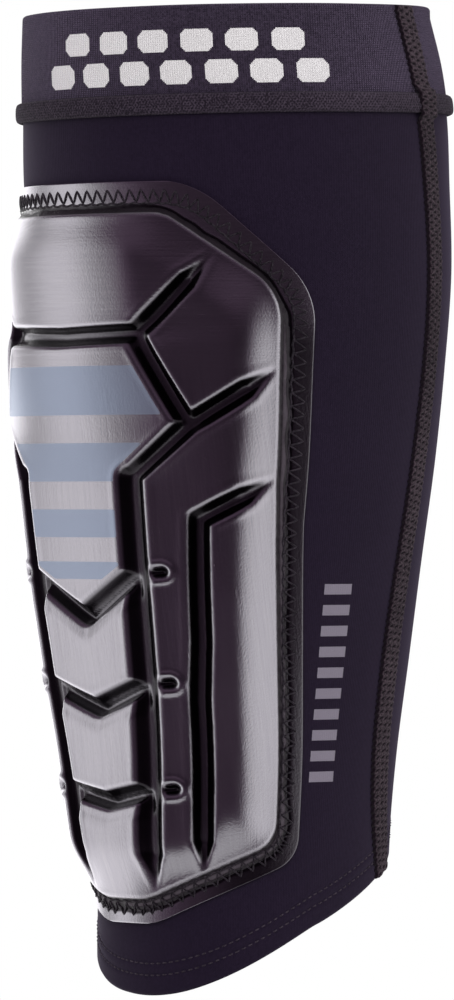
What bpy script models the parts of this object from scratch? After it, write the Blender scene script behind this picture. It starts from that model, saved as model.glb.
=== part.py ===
"""Football shin guard: a moulded shin pad sewn to a compression calf sleeve.

Metres, +Z up the leg. The shin faces -Y and the closing seam lies on the +X side.
The origin is on the leg's axis, halfway up the sleeve.
Every piece is laid on one surface, the outer face of the knitted sleeve.
A place on it is an angle round the leg, from the shin towards +X, and a height.
"""
import math

import bmesh
import bpy
import numpy as np
from mathutils import Vector
from mathutils.geometry import delaunay_2d_cdt

# Sleeve, driving sizes
SLEEVE_LENGTH = 0.2830      # cuff's top edge to the hem's lowest point
TOP_RISE = 0.0035           # the top edge stands this much higher at the calf
HEM_RISE = 0.0440           # the hem climbs this much from the shin to the back
HEM_SIDE_LIFT = 0.0033      # and bows up this much at the sides
HEM_TURN_DEGREES = 13       # the hem's lowest point lies this far off the shin line
CALF_WIDTH = 0.1180         # widest, side to side
CALF_DEPTH = 0.1245         # deepest, shin to calf
SQUARENESS = 2.15           # power of the superellipse: 2 is an ellipse
KNIT = 0.0012               # wall of the stretch knit
HEM_FOLD = 0.0105           # height of the folded hem
HEM_FOLD_WALL = 0.0012      # the fold's own layer, inside the sleeve
CLEARANCE = 0.0003          # gap between pieces that are sewn or lie together

# Cuff, its joint band and the closing seam
CUFF_HEIGHT = 0.0283        # top edge down to the joint with the sleeve
CUFF_WALL = 0.0022          # woven elastic
CUFF_PROUD = 0.0004         # how far its face stands off the sleeve's
JOINT_BAND_HEIGHT = 0.0058
JOINT_BAND_WALL = 0.0013
SEAM_WIDTH = 0.0090
SEAM_WALL = 0.0008

# Shin pad
PAD_DROP = 0.0496           # sleeve's top edge down to the pad's
PAD_HEIGHT = 0.2128
PAD_WIDTH = 0.1500          # widest, measured round the leg
FOOT_DRIFT = 0.0030         # the pad's foot sits this far towards the seam side
FLANGE = 0.0010             # thickness of the sewn flange
RIM_RISE = 0.0017           # step from the flange up to the body
RIM_RUN = 0.0010            # and its width
FRONT_EDGE_HEIGHT = 0.0105  # pad at the edges of its front facet, over the sleeve
SIDE_EDGE_HEIGHT = 0.0095   # pad at the crease above the border slope
GROOVE_DEPTH = 0.0038
GROOVE_HALF_WIDTH = 0.0032
SPINE_HALF_WIDTH = 0.0040   # the two long grooves beside the centre plates
GROOVE_FLOOR = 0.27         # share of a groove's width that is its floor
GROOVE_TAPER = 0.0110       # length in which a groove runs out to a point
POINT_SHARE = 0.12          # share of its width that is left at the point
LONGEST_TAPER = 0.8         # share of its last stretch that a taper may take
LEAST_PAD = 0.0020          # a groove leaves at least this much
GROOVE_FADE = 0.5           # power by which grooves fade towards the rim

# Rounding of the narrow bands, as shares of their wall and half-width
SHOULDER_SHARE = 0.6
CROWN_SHARE = 0.7

# Facets
AROUND = 60                 # segments round the leg
SLEEVE_ROWS = 18            # rows down the sleeve
CUFF_ROWS = 3
LINE_STEP = 0.0070          # longest edge along the pad's feature lines
GRID_ACROSS = 0.0050        # the pad's loose points
GRID_DOWN = 0.0090
GRID_ROOM = 0.0020          # how far they keep from the feature lines
ARC_STEP_DEGREES = 15
WELD = 0.00005              # points closer than this become one
FLAT_SCALE = 1000.0         # the triangulation works in millimetres
LEAST_SPAN = 1e-9           # keeps a share of nothing from dividing by zero
SHARP_DEGREES = 35

# Looks: linear colour, roughness and metallic value
KNIT_LOOK = ((0.016, 0.012, 0.022), 0.85, 0.0)
CUFF_LOOK = ((0.036, 0.029, 0.045), 0.80, 0.0)
SEAM_LOOK = ((0.030, 0.020, 0.030), 0.80, 0.0)
PAD_LOOK = ((0.100, 0.085, 0.100), 0.35, 0.3)

# The leg's sections. Down is a share of SLEEVE_LENGTH, side of half CALF_WIDTH,
# front and back of CALF_DEPTH.
SECTION_COLUMNS = ("down", "side", "front", "back")
SECTIONS = (
    (0.00, 0.935, 0.506, 0.442),
    (0.05, 0.958, 0.506, 0.478),
    (0.10, 0.982, 0.500, 0.494),
    (0.17, 0.996, 0.494, 0.500),
    (0.26, 1.000, 0.464, 0.506),
    (0.36, 0.975, 0.430, 0.488),
    (0.45, 0.924, 0.400, 0.470),
    (0.56, 0.847, 0.376, 0.439),
    (0.66, 0.774, 0.352, 0.414),
    (0.76, 0.703, 0.331, 0.388),
    (0.85, 0.661, 0.324, 0.373),
    (1.00, 0.644, 0.323, 0.372),
)

# The seam's angle round the leg, in degrees, against the share down the sleeve.
SEAM_COLUMNS = ("down", "degrees")
SEAM_PATH = (
    (0.00, 110.4),
    (0.12, 115.8),
    (0.33, 119.8),
    (0.55, 118.5),
    (0.75, 116.8),
    (0.88, 120.0),
    (1.00, 128.0),
)

# Corners of the pad's outlines on its +X half, top to bottom.
# Across and corner are shares of half PAD_WIDTH, down is a share of PAD_HEIGHT.
OUTLINE_COLUMNS = ("across", "down", "corner")
FLANGE_OUTLINE = (
    (0.000, 0.000, 0.00),
    (0.600, 0.000, 0.34),
    (1.024, 0.147, 0.25),
    (0.861, 0.460, 0.80),
    (0.713, 0.912, 0.15),
    (0.128, 1.000, 0.33),
    (0.000, 1.000, 0.00),
)
RIM_OUTLINE = (
    (0.000, 0.040, 0.00),
    (0.473, 0.040, 0.16),
    (0.884, 0.147, 0.19),
    (0.766, 0.403, 0.50),
    (0.627, 0.890, 0.14),
    (0.115, 0.968, 0.27),
    (0.000, 0.968, 0.00),
)
LONG_SIDE = slice(2, 5)     # the corners of the crease's long side
CREASE_OUTLINE = (
    (0.000, 0.095, 0.00),
    (0.360, 0.095, 0.11),
    (0.705, 0.190, 0.13),
    (0.592, 0.403, 0.50),
    (0.468, 0.847, 0.08),
    (0.330, 0.899, 0.11),
    (0.000, 0.904, 0.00),
)

# The edge between the front facet and the side facet, and the pad's height there
# and at the crease, as shares of FRONT_EDGE_HEIGHT and SIDE_EDGE_HEIGHT.
# Flatness is 0 where the front facet follows the leg and 1 where it is a flat cut.
FACET_COLUMNS = ("down", "across", "front_height", "side_height", "flatness")
FACETS = (
    (0.095, 0.335, 0.78, 0.78, 0.20),
    (0.150, 0.335, 0.84, 0.88, 0.20),
    (0.200, 0.335, 0.88, 0.97, 0.20),
    (0.213, 0.335, 1.06, 1.02, 0.20),
    (0.326, 0.451, 1.18, 1.14, 0.20),
    (0.397, 0.263, 1.33, 1.30, 0.60),
    (0.558, 0.248, 1.28, 1.36, 0.70),
    (0.671, 0.231, 1.20, 1.27, 0.75),
    (0.821, 0.194, 1.03, 1.07, 0.80),
    (1.000, 0.155, 0.74, 0.82, 0.80),
)

# Middle lines of the grooves on the +X half, as shares of half PAD_WIDTH across
# and of PAD_HEIGHT down.
COLLAR_GROOVE = ((0.000, 0.208), (0.328, 0.204))
SHOULDER_GROOVE = ((0.328, 0.204), (0.633, 0.098))
CHEEK_GROOVE = ((0.328, 0.204), (0.481, 0.326))
WING_GROOVE = ((0.481, 0.326), (0.813, 0.251))
HIP_GROOVE = ((0.481, 0.326), (0.263, 0.397))
SPINE_GROOVE = ((0.263, 0.397), (0.248, 0.558), (0.231, 0.671), (0.194, 0.821), (0.162, 0.953))
RIB_GROOVE = ((0.760, 0.396), (0.477, 0.453), (0.436, 0.615), (0.404, 0.695), (0.364, 0.873),
              (0.351, 0.930))
CHEVRON_GROOVES = (
    ((0.000, 0.583), (0.251, 0.526)),
    ((0.000, 0.707), (0.230, 0.675)),
    ((0.000, 0.833), (0.195, 0.818)),
)

TOP = SLEEVE_LENGTH / 2
HALF_PAD = PAD_WIDTH / 2
AROUND_LEG = np.linspace(0, 2 * math.pi, AROUND, endpoint=False)


def read_table(table, columns):
    """Return a table's columns by name."""
    return dict(zip(columns, np.array(table).T))


def smooth(x, knots, values):
    """Return a smooth curve through a table: a cubic with the table's own slopes."""
    x = np.clip(x, knots[0], knots[-1])
    i = np.clip(np.searchsorted(knots, x, side="right") - 1, 0, len(knots) - 2)
    slopes = np.gradient(values, knots)
    span = knots[i + 1] - knots[i]
    t = (x - knots[i]) / span
    start = (1 + 2 * t) * (1 - t) ** 2 * values[i] + t * (1 - t) ** 2 * span * slopes[i]
    end = t * t * (3 - 2 * t) * values[i + 1] - t * t * (1 - t) * span * slopes[i + 1]
    return start + end


# The leg's form

def half_sizes(z):
    """Return the leg's half-width, front depth and back depth at a height."""
    table = read_table(SECTIONS, SECTION_COLUMNS)
    down = (TOP - z) / SLEEVE_LENGTH
    side = smooth(down, table["down"], table["side"]) * CALF_WIDTH / 2
    front = smooth(down, table["down"], table["front"]) * CALF_DEPTH
    back = smooth(down, table["down"], table["back"]) * CALF_DEPTH
    return side, front, back


def on_leg(angle, z, lift):
    """Return points at a distance outside the sleeve's face, as an array of x, y, z."""
    angle, z, lift = np.broadcast_arrays(angle, z, lift)
    side, front, back = half_sizes(z)
    sine, cosine = np.sin(angle), np.cos(angle)
    depth = np.where(cosine > 0, front, back)
    x = side * np.sign(sine) * np.abs(sine) ** (2 / SQUARENESS)
    y = -depth * np.sign(cosine) * np.abs(cosine) ** (2 / SQUARENESS)
    nx = np.sign(x) * np.abs(x / side) ** (SQUARENESS - 1) / side
    ny = np.sign(y) * np.abs(y / depth) ** (SQUARENESS - 1) / depth
    length = np.hypot(nx, ny)
    return np.stack([x + lift * nx / length, y + lift * ny / length, z + 0 * x], axis=-1)


def top_edge(angle):
    """Return the height of the cuff's top edge round the leg."""
    return TOP + TOP_RISE * (1 - np.cos(angle)) / 2


def hem_edge(angle):
    """Return the height of the hem round the leg: a tilted cut, bowed up at the sides."""
    angle = angle - math.radians(HEM_TURN_DEGREES)
    climb = HEM_RISE * (1 - np.cos(angle)) / 2
    return TOP - SLEEVE_LENGTH + climb + HEM_SIDE_LIFT * np.sin(angle) ** 2


# Meshes

def finish(name, vertices, faces, look):
    """Make a closed body from vertices and faces, with its faces turned outwards."""
    mesh = bpy.data.meshes.new(name)
    mesh.from_pydata([tuple(v) for v in vertices], [], faces)
    bm = bmesh.new()
    bm.from_mesh(mesh)
    bmesh.ops.recalc_face_normals(bm, faces=bm.faces)
    bm.to_mesh(mesh)
    bm.free()
    mesh.shade_smooth()
    mesh.set_sharp_from_angle(angle=math.radians(SHARP_DEGREES))
    mesh.materials.append(make_material(name, *look))
    body = bpy.data.objects.new(name, mesh)
    bpy.context.scene.collection.objects.link(body)
    return body


def make_material(name, colour, roughness, metallic):
    """Make a Principled material."""
    material = bpy.data.materials.new(name)
    material.use_nodes = True
    shader = material.node_tree.nodes["Principled BSDF"]
    shader.inputs["Base Color"].default_value = (*colour, 1.0)
    shader.inputs["Roughness"].default_value = roughness
    shader.inputs["Metallic"].default_value = metallic
    return material


def ring_tube(name, profile, look):
    """Make a tube round the leg from a closed profile.

    The profile is a loop of (height round the leg, lift off the sleeve's face) pairs.
    """
    rings = [on_leg(AROUND_LEG, height, lift) for height, lift in profile]
    vertices = np.concatenate(rings)
    faces = []
    for ring in range(len(rings)):
        here = ring * AROUND
        there = (ring + 1) % len(rings) * AROUND
        for i in range(AROUND):
            j = (i + 1) % AROUND
            faces.append((here + i, here + j, there + j, there + i))
    return finish(name, vertices, faces, look)


# Sleeve, cuff and band

def make_sleeve():
    """Make the knitted sleeve: one wall, doubled inside at its folded hem."""
    upper = top_edge(AROUND_LEG) - CUFF_HEIGHT - CLEARANCE
    lower = hem_edge(AROUND_LEG)
    fold_top = lower + HEM_FOLD
    rows = np.linspace(0, 1, SLEEVE_ROWS)
    face = [(upper + (fold_top - upper) * share, 0.0) for share in rows]
    hem = [(lower, 0.0), (lower, -KNIT - HEM_FOLD_WALL), (fold_top, -KNIT - HEM_FOLD_WALL)]
    back = [(height, -KNIT) for height, _ in reversed(face)]
    return ring_tube("fabric_sleeve", face + hem + back, KNIT_LOOK)


def make_cuff():
    """Make the woven elastic cuff, with a rounded top edge."""
    upper = top_edge(AROUND_LEG)
    joint = upper - CUFF_HEIGHT
    inner = CUFF_PROUD - CUFF_WALL
    quarter = CUFF_WALL / 4
    shoulder = upper - quarter
    rows = np.linspace(0, 1, CUFF_ROWS)
    face = [(joint + (shoulder - joint) * share, CUFF_PROUD) for share in rows]
    crown = [(upper, CUFF_PROUD - quarter), (upper, inner + quarter)]
    back = [(height, inner) for height, _ in reversed(face)]
    return ring_tube("cuff_band", face + crown + back, CUFF_LOOK)


def make_joint_band():
    """Make the narrow band over the joint of cuff and sleeve."""
    middle = top_edge(AROUND_LEG) - CUFF_HEIGHT
    half = JOINT_BAND_HEIGHT / 2
    inner = CUFF_PROUD + CLEARANCE
    outer = inner + JOINT_BAND_WALL
    shoulder = inner + JOINT_BAND_WALL * SHOULDER_SHARE
    profile = [
        (middle - half, inner),
        (middle - half, shoulder),
        (middle - half * CROWN_SHARE, outer),
        (middle + half * CROWN_SHARE, outer),
        (middle + half, shoulder),
        (middle + half, inner),
    ]
    return ring_tube("cuff_joint_band", profile, KNIT_LOOK)


def seam_height(angle, drop, start, length):
    """Return the height at distances down a seam of a length.

    Down to the start the distance is true, and below it the seam stretches to the hem.
    """
    upper = top_edge(angle)
    span = upper - hem_edge(angle) - CLEARANCE
    below = np.maximum(drop - start, 0) * (span - start) / (length - start)
    return upper - np.minimum(drop, start) - below


def make_closing_seam():
    """Make the flat seam from the cuff's top edge to the hem, over the joint band."""
    path = read_table(SEAM_PATH, SEAM_COLUMNS)
    face = CLEARANCE
    cuff_face = CUFF_PROUD + CLEARANCE
    band_face = cuff_face + JOINT_BAND_WALL + CLEARANCE
    band_top = CUFF_HEIGHT - JOINT_BAND_HEIGHT / 2 - CLEARANCE
    band_foot = CUFF_HEIGHT + JOINT_BAND_HEIGHT / 2 + CLEARANCE
    ramp = 2 * JOINT_BAND_WALL
    drops = [(CLEARANCE, cuff_face), (band_top / 2, cuff_face), (band_top - ramp, cuff_face),
             (band_top, band_face), (band_foot, band_face), (band_foot + ramp, face)]
    last_angle = math.radians(path["degrees"][-1])
    top_z = float(top_edge(last_angle))
    length = top_z - float(hem_edge(last_angle)) - CLEARANCE
    start = drops[-1][0]
    for share in np.linspace(0, 1, SLEEVE_ROWS + 1)[1:]:
        drops.append((start + (length - start) * share, face))
    down = np.array([drop for drop, _ in drops])
    angles = np.radians(smooth(down / length, path["down"], path["degrees"]))
    side, _, back = half_sizes(seam_height(angles, down, start, length))
    spread = SEAM_WIDTH / 2 / ((side + back) / 2)
    inner = np.array([lift for _, lift in drops])
    section = ((-1, 0), (-1, SHOULDER_SHARE), (-CROWN_SHARE, 1), (CROWN_SHARE, 1),
               (1, SHOULDER_SHARE), (1, 0))
    columns = []
    for across, up in section:
        around = angles + spread * across
        heights = seam_height(around, down, start, length)
        columns.append(on_leg(around, heights, inner + SEAM_WALL * up))
    count = len(columns)
    vertices = np.stack(columns, axis=1).reshape(-1, 3)
    faces = []
    for row in range(len(down) - 1):
        for i in range(count):
            j = (i + 1) % count
            here, there = row * count, (row + 1) * count
            faces.append((here + i, here + j, there + j, there + i))
    end = (len(down) - 1) * count
    faces.append(tuple(range(count)))
    faces.append(tuple(end + i for i in reversed(range(count))))
    return finish("closing_seam", vertices, faces, SEAM_LOOK)


# The pad, laid out flat: across from the shin line and down from its top edge

def rounded(corners):
    """Return an outline in metres, its corners rounded by arcs and its lines cut short."""
    table = read_table(corners, OUTLINE_COLUMNS)
    points = np.stack([table["across"] * HALF_PAD, table["down"] * PAD_HEIGHT], axis=1)
    radii = table["corner"] * HALF_PAD
    line = [points[0]]
    for i in range(1, len(points) - 1):
        before = points[i - 1] - points[i]
        after = points[i + 1] - points[i]
        before, after = before / np.linalg.norm(before), after / np.linalg.norm(after)
        turn = math.pi - math.acos(np.clip(before @ after, -1, 1))
        reach = radii[i] * math.tan(turn / 2)
        inward = before + after
        inward = inward / np.linalg.norm(inward)
        centre = points[i] + inward * radii[i] / math.cos(turn / 2)
        start = points[i] + before * reach - centre
        sign = math.copysign(1, before[0] * after[1] - before[1] * after[0])
        steps = max(1, math.ceil(turn / math.radians(ARC_STEP_DEGREES)))
        for k in range(steps + 1):
            bend = -sign * turn * k / steps
            line.append(centre + turned(start, bend))
    line.append(points[-1])
    return cut_short(np.array(line))


def turned(vector, angle):
    """Return a flat vector turned by an angle."""
    c, s = math.cos(angle), math.sin(angle)
    return np.array([c * vector[0] - s * vector[1], s * vector[0] + c * vector[1]])


def cut_short(line):
    """Return a line with extra points, so that no edge is longer than LINE_STEP."""
    points = [line[0]]
    for a, b in zip(line[:-1], line[1:]):
        steps = max(1, math.ceil(np.linalg.norm(b - a) / LINE_STEP))
        points.extend(a + (b - a) * k / steps for k in range(1, steps + 1))
    return np.array(points)


def line_distance(points, line):
    """Return each point's distance to a line of points."""
    best = np.full(len(points), np.inf)
    for a, b in zip(line[:-1], line[1:]):
        along = b - a
        share = np.clip((points - a) @ along / (along @ along), 0, 1)
        best = np.minimum(best, np.linalg.norm(points - a - share[:, None] * along, axis=1))
    return best


def inside(points, line):
    """Return which points lie between the shin line and an outline."""
    across, down = points[:, 0], points[:, 1]
    crossings = np.zeros(len(points), dtype=int)
    for a, b in zip(line[:-1], line[1:]):
        spans = (a[1] <= down) != (b[1] <= down)
        slope = (b[0] - a[0]) / (b[1] - a[1] if b[1] != a[1] else 1.0)
        crossings += spans & (across < a[0] + slope * (down - a[1]))
    return crossings % 2 == 1


class Groove:
    """A groove's middle line, with its half-width and depth at each of its points."""

    def __init__(self, shares, half_width, pointed_start=False, pointed_end=False):
        line = [np.array([across * HALF_PAD, down * PAD_HEIGHT]) for across, down in shares]
        half_widths = [half_width] * len(line)
        depths = [GROOVE_DEPTH] * len(line)
        if pointed_end:
            line, half_widths, depths = self.pointed(line, half_widths, depths)
        if pointed_start:
            turned_round = self.pointed(line[::-1], half_widths[::-1], depths[::-1])
            line, half_widths, depths = [values[::-1] for values in turned_round]
        self.line = np.array(line)
        self.half_widths = np.array(half_widths)
        self.depths = np.array(depths)

    @staticmethod
    def pointed(line, half_widths, depths):
        """Return the groove with its last stretch running out to a point."""
        stretch = line[-2] - line[-1]
        length = np.linalg.norm(stretch)
        taper = min(GROOVE_TAPER, LONGEST_TAPER * length)
        shoulder = line[-1] + stretch * taper / length
        return (line[:-1] + [shoulder, line[-1]],
                half_widths[:-1] + [half_widths[-2], half_widths[-1] * POINT_SHARE],
                depths[:-1] + [depths[-2], 0.0])

    def cut(self, points):
        """Return how deep the groove cuts at each point."""
        best = np.zeros(len(points))
        for i in range(len(self.line) - 1):
            a, b = self.line[i], self.line[i + 1]
            along = b - a
            share = np.clip((points - a) @ along / (along @ along), 0, 1)
            away = np.linalg.norm(points - a - share[:, None] * along, axis=1)
            half = self.half_widths[i] + share * (self.half_widths[i + 1] - self.half_widths[i])
            depth = self.depths[i] + share * (self.depths[i + 1] - self.depths[i])
            wall = half * (1 - GROOVE_FLOOR)
            best = np.maximum(best, depth * np.clip((half - away) / wall, 0, 1))
        return best

    def edges(self):
        """Return the groove's edge lines and floor lines, cut short."""
        lines = []
        for share in (-1, -GROOVE_FLOOR, GROOVE_FLOOR, 1):
            lines.append(cut_short(self.line + self.sideways() * share * self.half_widths[:, None]))
        return lines

    def sideways(self):
        """Return the mitred sideways step at each point of the middle line.

        A groove that starts on the shin line is mitred there with its mirror image.
        """
        steps = np.diff(self.line, axis=0)
        steps = steps / np.linalg.norm(steps, axis=1)[:, None]
        normals = np.stack([-steps[:, 1], steps[:, 0]], axis=1)
        first = normals[:1] * ((-1, 1) if self.line[0, 0] == 0 else (1, 1))
        before = np.concatenate([first, normals])
        after = np.concatenate([normals, normals[-1:]])
        middle = before + after
        return 2 * middle / (middle * middle).sum(axis=1)[:, None]


def make_grooves():
    """Return the grooves of the pad's +X half."""
    plain = GROOVE_HALF_WIDTH
    grooves = [
        Groove(COLLAR_GROOVE, plain),
        Groove(SHOULDER_GROOVE, plain, pointed_end=True),
        Groove(CHEEK_GROOVE, plain),
        Groove(WING_GROOVE, plain, pointed_end=True),
        Groove(HIP_GROOVE, plain),
        Groove(SPINE_GROOVE, SPINE_HALF_WIDTH, pointed_end=True),
        Groove(RIB_GROOVE, plain, pointed_start=True, pointed_end=True),
    ]
    grooves.extend(Groove(line, plain) for line in CHEVRON_GROOVES)
    return grooves


def pad_place(points):
    """Return the angle round the leg and the height of flat pad points."""
    z = TOP - PAD_DROP - points[:, 1]
    side, front, _ = half_sizes(z)
    drift = FOOT_DRIFT * np.clip(points[:, 1] / PAD_HEIGHT, 0, 1) ** 3
    return (points[:, 0] + drift) / ((side + front) / 2), z


def facet_height(points):
    """Return the height of the pad's facets, each a flat cut between two edges.

    Beyond the crease the height stays the crease's own, so the border slopes evenly.
    """
    table = read_table(FACETS, FACET_COLUMNS)
    down = points[:, 1] / PAD_HEIGHT
    front_edge = np.interp(down, table["down"], table["across"]) * HALF_PAD
    front_lift = np.interp(down, table["down"], table["front_height"]) * FRONT_EDGE_HEIGHT
    side_lift = np.interp(down, table["down"], table["side_height"]) * SIDE_EDGE_HEIGHT
    crease = read_table(CREASE_OUTLINE, OUTLINE_COLUMNS)
    crease_across = np.interp(down, crease["down"][LONG_SIDE], crease["across"][LONG_SIDE])
    side_edge = crease_across * HALF_PAD
    in_front = np.abs(points[:, 0]) < front_edge
    first = np.where(in_front, -front_edge, front_edge)
    second = np.where(in_front, front_edge, side_edge)
    second_lift = np.where(in_front, front_lift, side_lift)
    a = edge_point(points, first, front_lift)
    b = edge_point(points, second, second_lift)
    angle, z = shin_place(points, np.minimum(np.abs(points[:, 0]), side_edge))
    base = on_leg(angle, z, 0.0)
    outward = on_leg(angle, z, 1.0) - base
    across = (b - a)[:, :2]
    normal = np.stack([across[:, 1], -across[:, 0]], axis=1)
    flat = ((a - base)[:, :2] * normal).sum(axis=1) / (outward[:, :2] * normal).sum(axis=1)
    flatness = np.where(in_front, np.interp(down, table["down"], table["flatness"]), 1.0)
    return front_lift + (flat - front_lift) * flatness


def shin_place(points, across):
    """Return the angle and height of points at a distance across, without the drift."""
    z = TOP - PAD_DROP - points[:, 1]
    side, front, _ = half_sizes(z)
    return across / ((side + front) / 2), z


def edge_point(points, across, lift):
    """Return the place on a facet's edge level with each point."""
    angle, z = shin_place(points, across)
    return on_leg(angle, z, lift)


class Pad:
    """The moulded pad: its outlines, grooves and the height of its outer face."""

    def __init__(self):
        self.flange = rounded(FLANGE_OUTLINE)
        self.rim = rounded(RIM_OUTLINE)
        self.crease = rounded(CREASE_OUTLINE)
        self.grooves = make_grooves()

    def height(self, points):
        """Return the outer face's height over the pad's underside."""
        points = np.stack([np.abs(points[:, 0]), points[:, 1]], axis=1)
        from_rim = line_distance(points, self.rim) * inside(points, self.rim)
        step = FLANGE + RIM_RISE * np.clip(from_rim / RIM_RUN, 0, 1)
        from_crease = line_distance(points, self.crease) * ~inside(points, self.crease)
        on_slope = np.clip(from_rim - RIM_RUN, 0, None)
        share = on_slope / np.maximum(on_slope + from_crease, LEAST_SPAN)
        height = step + (facet_height(points) - FLANGE - RIM_RISE) * share
        cut = np.max([groove.cut(points) for groove in self.grooves], axis=0)
        floor = np.minimum(height, LEAST_PAD)
        return np.maximum(height - cut * share ** GROOVE_FADE, floor)

    def rim_top(self):
        """Return the line where the rim's step meets the border slope."""
        steps = np.gradient(self.rim, axis=0)
        steps = steps / np.linalg.norm(steps, axis=1)[:, None]
        line = self.rim + np.stack([-steps[:, 1], steps[:, 0]], axis=1) * RIM_RUN
        line[[0, -1], 0] = 0
        return line

    def facet_edge(self):
        """Return the edge between the front and side facets, down to the lower crease."""
        table = read_table(FACETS, FACET_COLUMNS)
        line = np.stack([table["across"] * HALF_PAD, table["down"] * PAD_HEIGHT], axis=1)
        return cut_short(line[:-1])

    def loose_points(self, lines):
        """Return grid points inside the flange that keep clear of the feature lines."""
        across = np.arange(GRID_ACROSS, self.flange[:, 0].max(), GRID_ACROSS)
        down = np.arange(GRID_DOWN, PAD_HEIGHT, GRID_DOWN)
        grid = np.stack(np.meshgrid(across, down), axis=-1).reshape(-1, 2)
        keep = inside(grid, self.flange)
        for line in lines:
            keep &= line_distance(grid, line) > GRID_ROOM
        return grid[keep]

    def outer_face(self):
        """Return the outer face's flat points and triangles on the +X half."""
        lines = [self.flange, self.rim, self.rim_top(), self.crease, self.facet_edge()]
        for groove in self.grooves:
            lines.extend(groove.edges())
        return half_face(lines, self.loose_points(lines))

    def underside(self):
        """Return the underside's flat points and triangles on the +X half."""
        return half_face([self.flange], self.loose_points([self.flange]))


def half_face(lines, loose):
    """Triangulate the +X half of a face, with its lines as edges."""
    steps = math.ceil(PAD_HEIGHT / GRID_DOWN)
    shin = np.linspace(0, PAD_HEIGHT, steps + 1)
    lines = lines + [np.stack([0 * shin, shin], axis=1)]
    points = []
    edges = []
    for line in lines:
        line = np.stack([np.maximum(line[:, 0], 0), line[:, 1]], axis=1)
        first = len(points)
        points.extend(line)
        edges.extend((first + i, first + i + 1) for i in range(len(line) - 1))
    points.extend(loose)
    flat = [Vector(point) * FLAT_SCALE for point in points]
    found, _, faces, *_ = delaunay_2d_cdt(flat, edges, [], 1, WELD * FLAT_SCALE)
    return np.array([tuple(point) for point in found]) / FLAT_SCALE, [tuple(f) for f in faces]


def make_pad():
    """Make the shin pad: outer face, underside and the flange's edge, mirrored."""
    pad = Pad()
    vertices = []
    faces = []
    index = {}

    def add(points, lifts, level):
        """Add points of one level and return their numbers."""
        angle, z = pad_place(points)
        places = on_leg(angle, z, lifts)
        numbers = []
        for point, place in zip(points, places):
            key = (level, round(point[0] / WELD), round(point[1] / WELD))
            if key not in index:
                index[key] = len(vertices)
                vertices.append(place)
            numbers.append(index[key])
        return numbers

    for level, (points, triangles) in enumerate((pad.underside(), pad.outer_face())):
        for side in (1, -1):
            placed = points * (side, 1)
            lifts = CLEARANCE + (pad.height(placed) if level else 0)
            numbers = add(placed, lifts, level)
            faces.extend(tuple(numbers[i] for i in triangle) for triangle in triangles)
    for side in (1, -1):
        placed = pad.flange * (side, 1)
        low = add(placed, CLEARANCE, 0)
        high = add(placed, CLEARANCE + FLANGE, 1)
        for i in range(len(placed) - 1):
            faces.append((low[i], low[i + 1], high[i + 1], high[i]))
    return finish("shin_pad", vertices, faces, PAD_LOOK)


def main():
    """Clear the scene and make every piece."""
    for old in list(bpy.data.objects):
        bpy.data.objects.remove(old)
    make_sleeve()
    make_cuff()
    make_joint_band()
    make_closing_seam()
    make_pad()


main()
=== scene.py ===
"""Dress a football shin guard: a moulded shin pad sewn to a stretch-knit calf sleeve.

Everything is in metres in the frame of the part, with +Z up the leg and the shin facing
-Y. A place on the leg is an angle from the shin towards +X and a height. A place on the
pad is flat: across from the shin line, and down from the pad's top edge.
"""
import logging
import math
from collections.abc import Sequence
from dataclasses import dataclass, field
from enum import Enum
from functools import reduce

import bmesh
import bpy
import numpy as np
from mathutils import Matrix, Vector


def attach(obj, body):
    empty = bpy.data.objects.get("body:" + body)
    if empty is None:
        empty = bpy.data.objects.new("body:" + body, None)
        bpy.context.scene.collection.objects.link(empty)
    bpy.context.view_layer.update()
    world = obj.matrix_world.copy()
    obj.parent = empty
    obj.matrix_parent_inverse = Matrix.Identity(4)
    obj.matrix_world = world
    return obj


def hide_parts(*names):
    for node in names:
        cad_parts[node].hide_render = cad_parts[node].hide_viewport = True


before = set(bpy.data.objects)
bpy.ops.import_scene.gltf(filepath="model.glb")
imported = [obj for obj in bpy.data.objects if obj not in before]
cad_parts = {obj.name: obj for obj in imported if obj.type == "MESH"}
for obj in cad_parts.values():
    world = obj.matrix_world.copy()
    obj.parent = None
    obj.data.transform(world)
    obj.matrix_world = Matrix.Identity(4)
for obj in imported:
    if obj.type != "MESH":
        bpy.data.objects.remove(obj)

log = logging.getLogger("shin_guard")

Array = np.ndarray
Socket = bpy.types.NodeSocket
Scale = tuple[float, float, float]
Colour = tuple[float, float, float, float]
MM = 0.001
CLEARANCE = 0.0003
CHART_RADIUS = 0.060            # an angle times this is the chart's distance round the leg


class Slot(Enum):
    """The record's material slots."""

    KNIT = "knit"
    CUFF = "cuff_elastic"
    JOINT = "joint_elastic"
    THREAD = "seam_thread"
    FILM = "pad_film"


# Curves and grids


def columns_of(table: Sequence[Sequence[float]]) -> tuple[Array, ...]:
    """Return a short table's columns as arrays."""
    return tuple(np.array(table, dtype=float).T)


def smooth(x: Array, knots: Array, values: Array) -> Array:
    """Return a cubic curve through a table, with the table's own slopes.

    Args:
        x: Places to read the curve at; they are kept inside the table.
        knots: The table's places, rising.
        values: The table's values.

    Returns:
        The curve's values: a Hermite cubic between each two knots.
    """
    x = np.clip(x, knots[0], knots[-1])
    i = np.clip(np.searchsorted(knots, x, side="right") - 1, 0, len(knots) - 2)
    slopes = np.gradient(values, knots)
    span = knots[i + 1] - knots[i]
    t = (x - knots[i]) / span
    start = (1 + 2 * t) * (1 - t) ** 2 * values[i] + t * (1 - t) ** 2 * span * slopes[i]
    end = t * t * (3 - 2 * t) * values[i + 1] - t * t * (1 - t) * span * slopes[i + 1]
    return start + end


def ease(x: Array) -> Array:
    """Return the soft step 3x^2 - 2x^3, with x kept between 0 and 1."""
    x = np.clip(x, 0, 1)
    return x * x * (3 - 2 * x)


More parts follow.
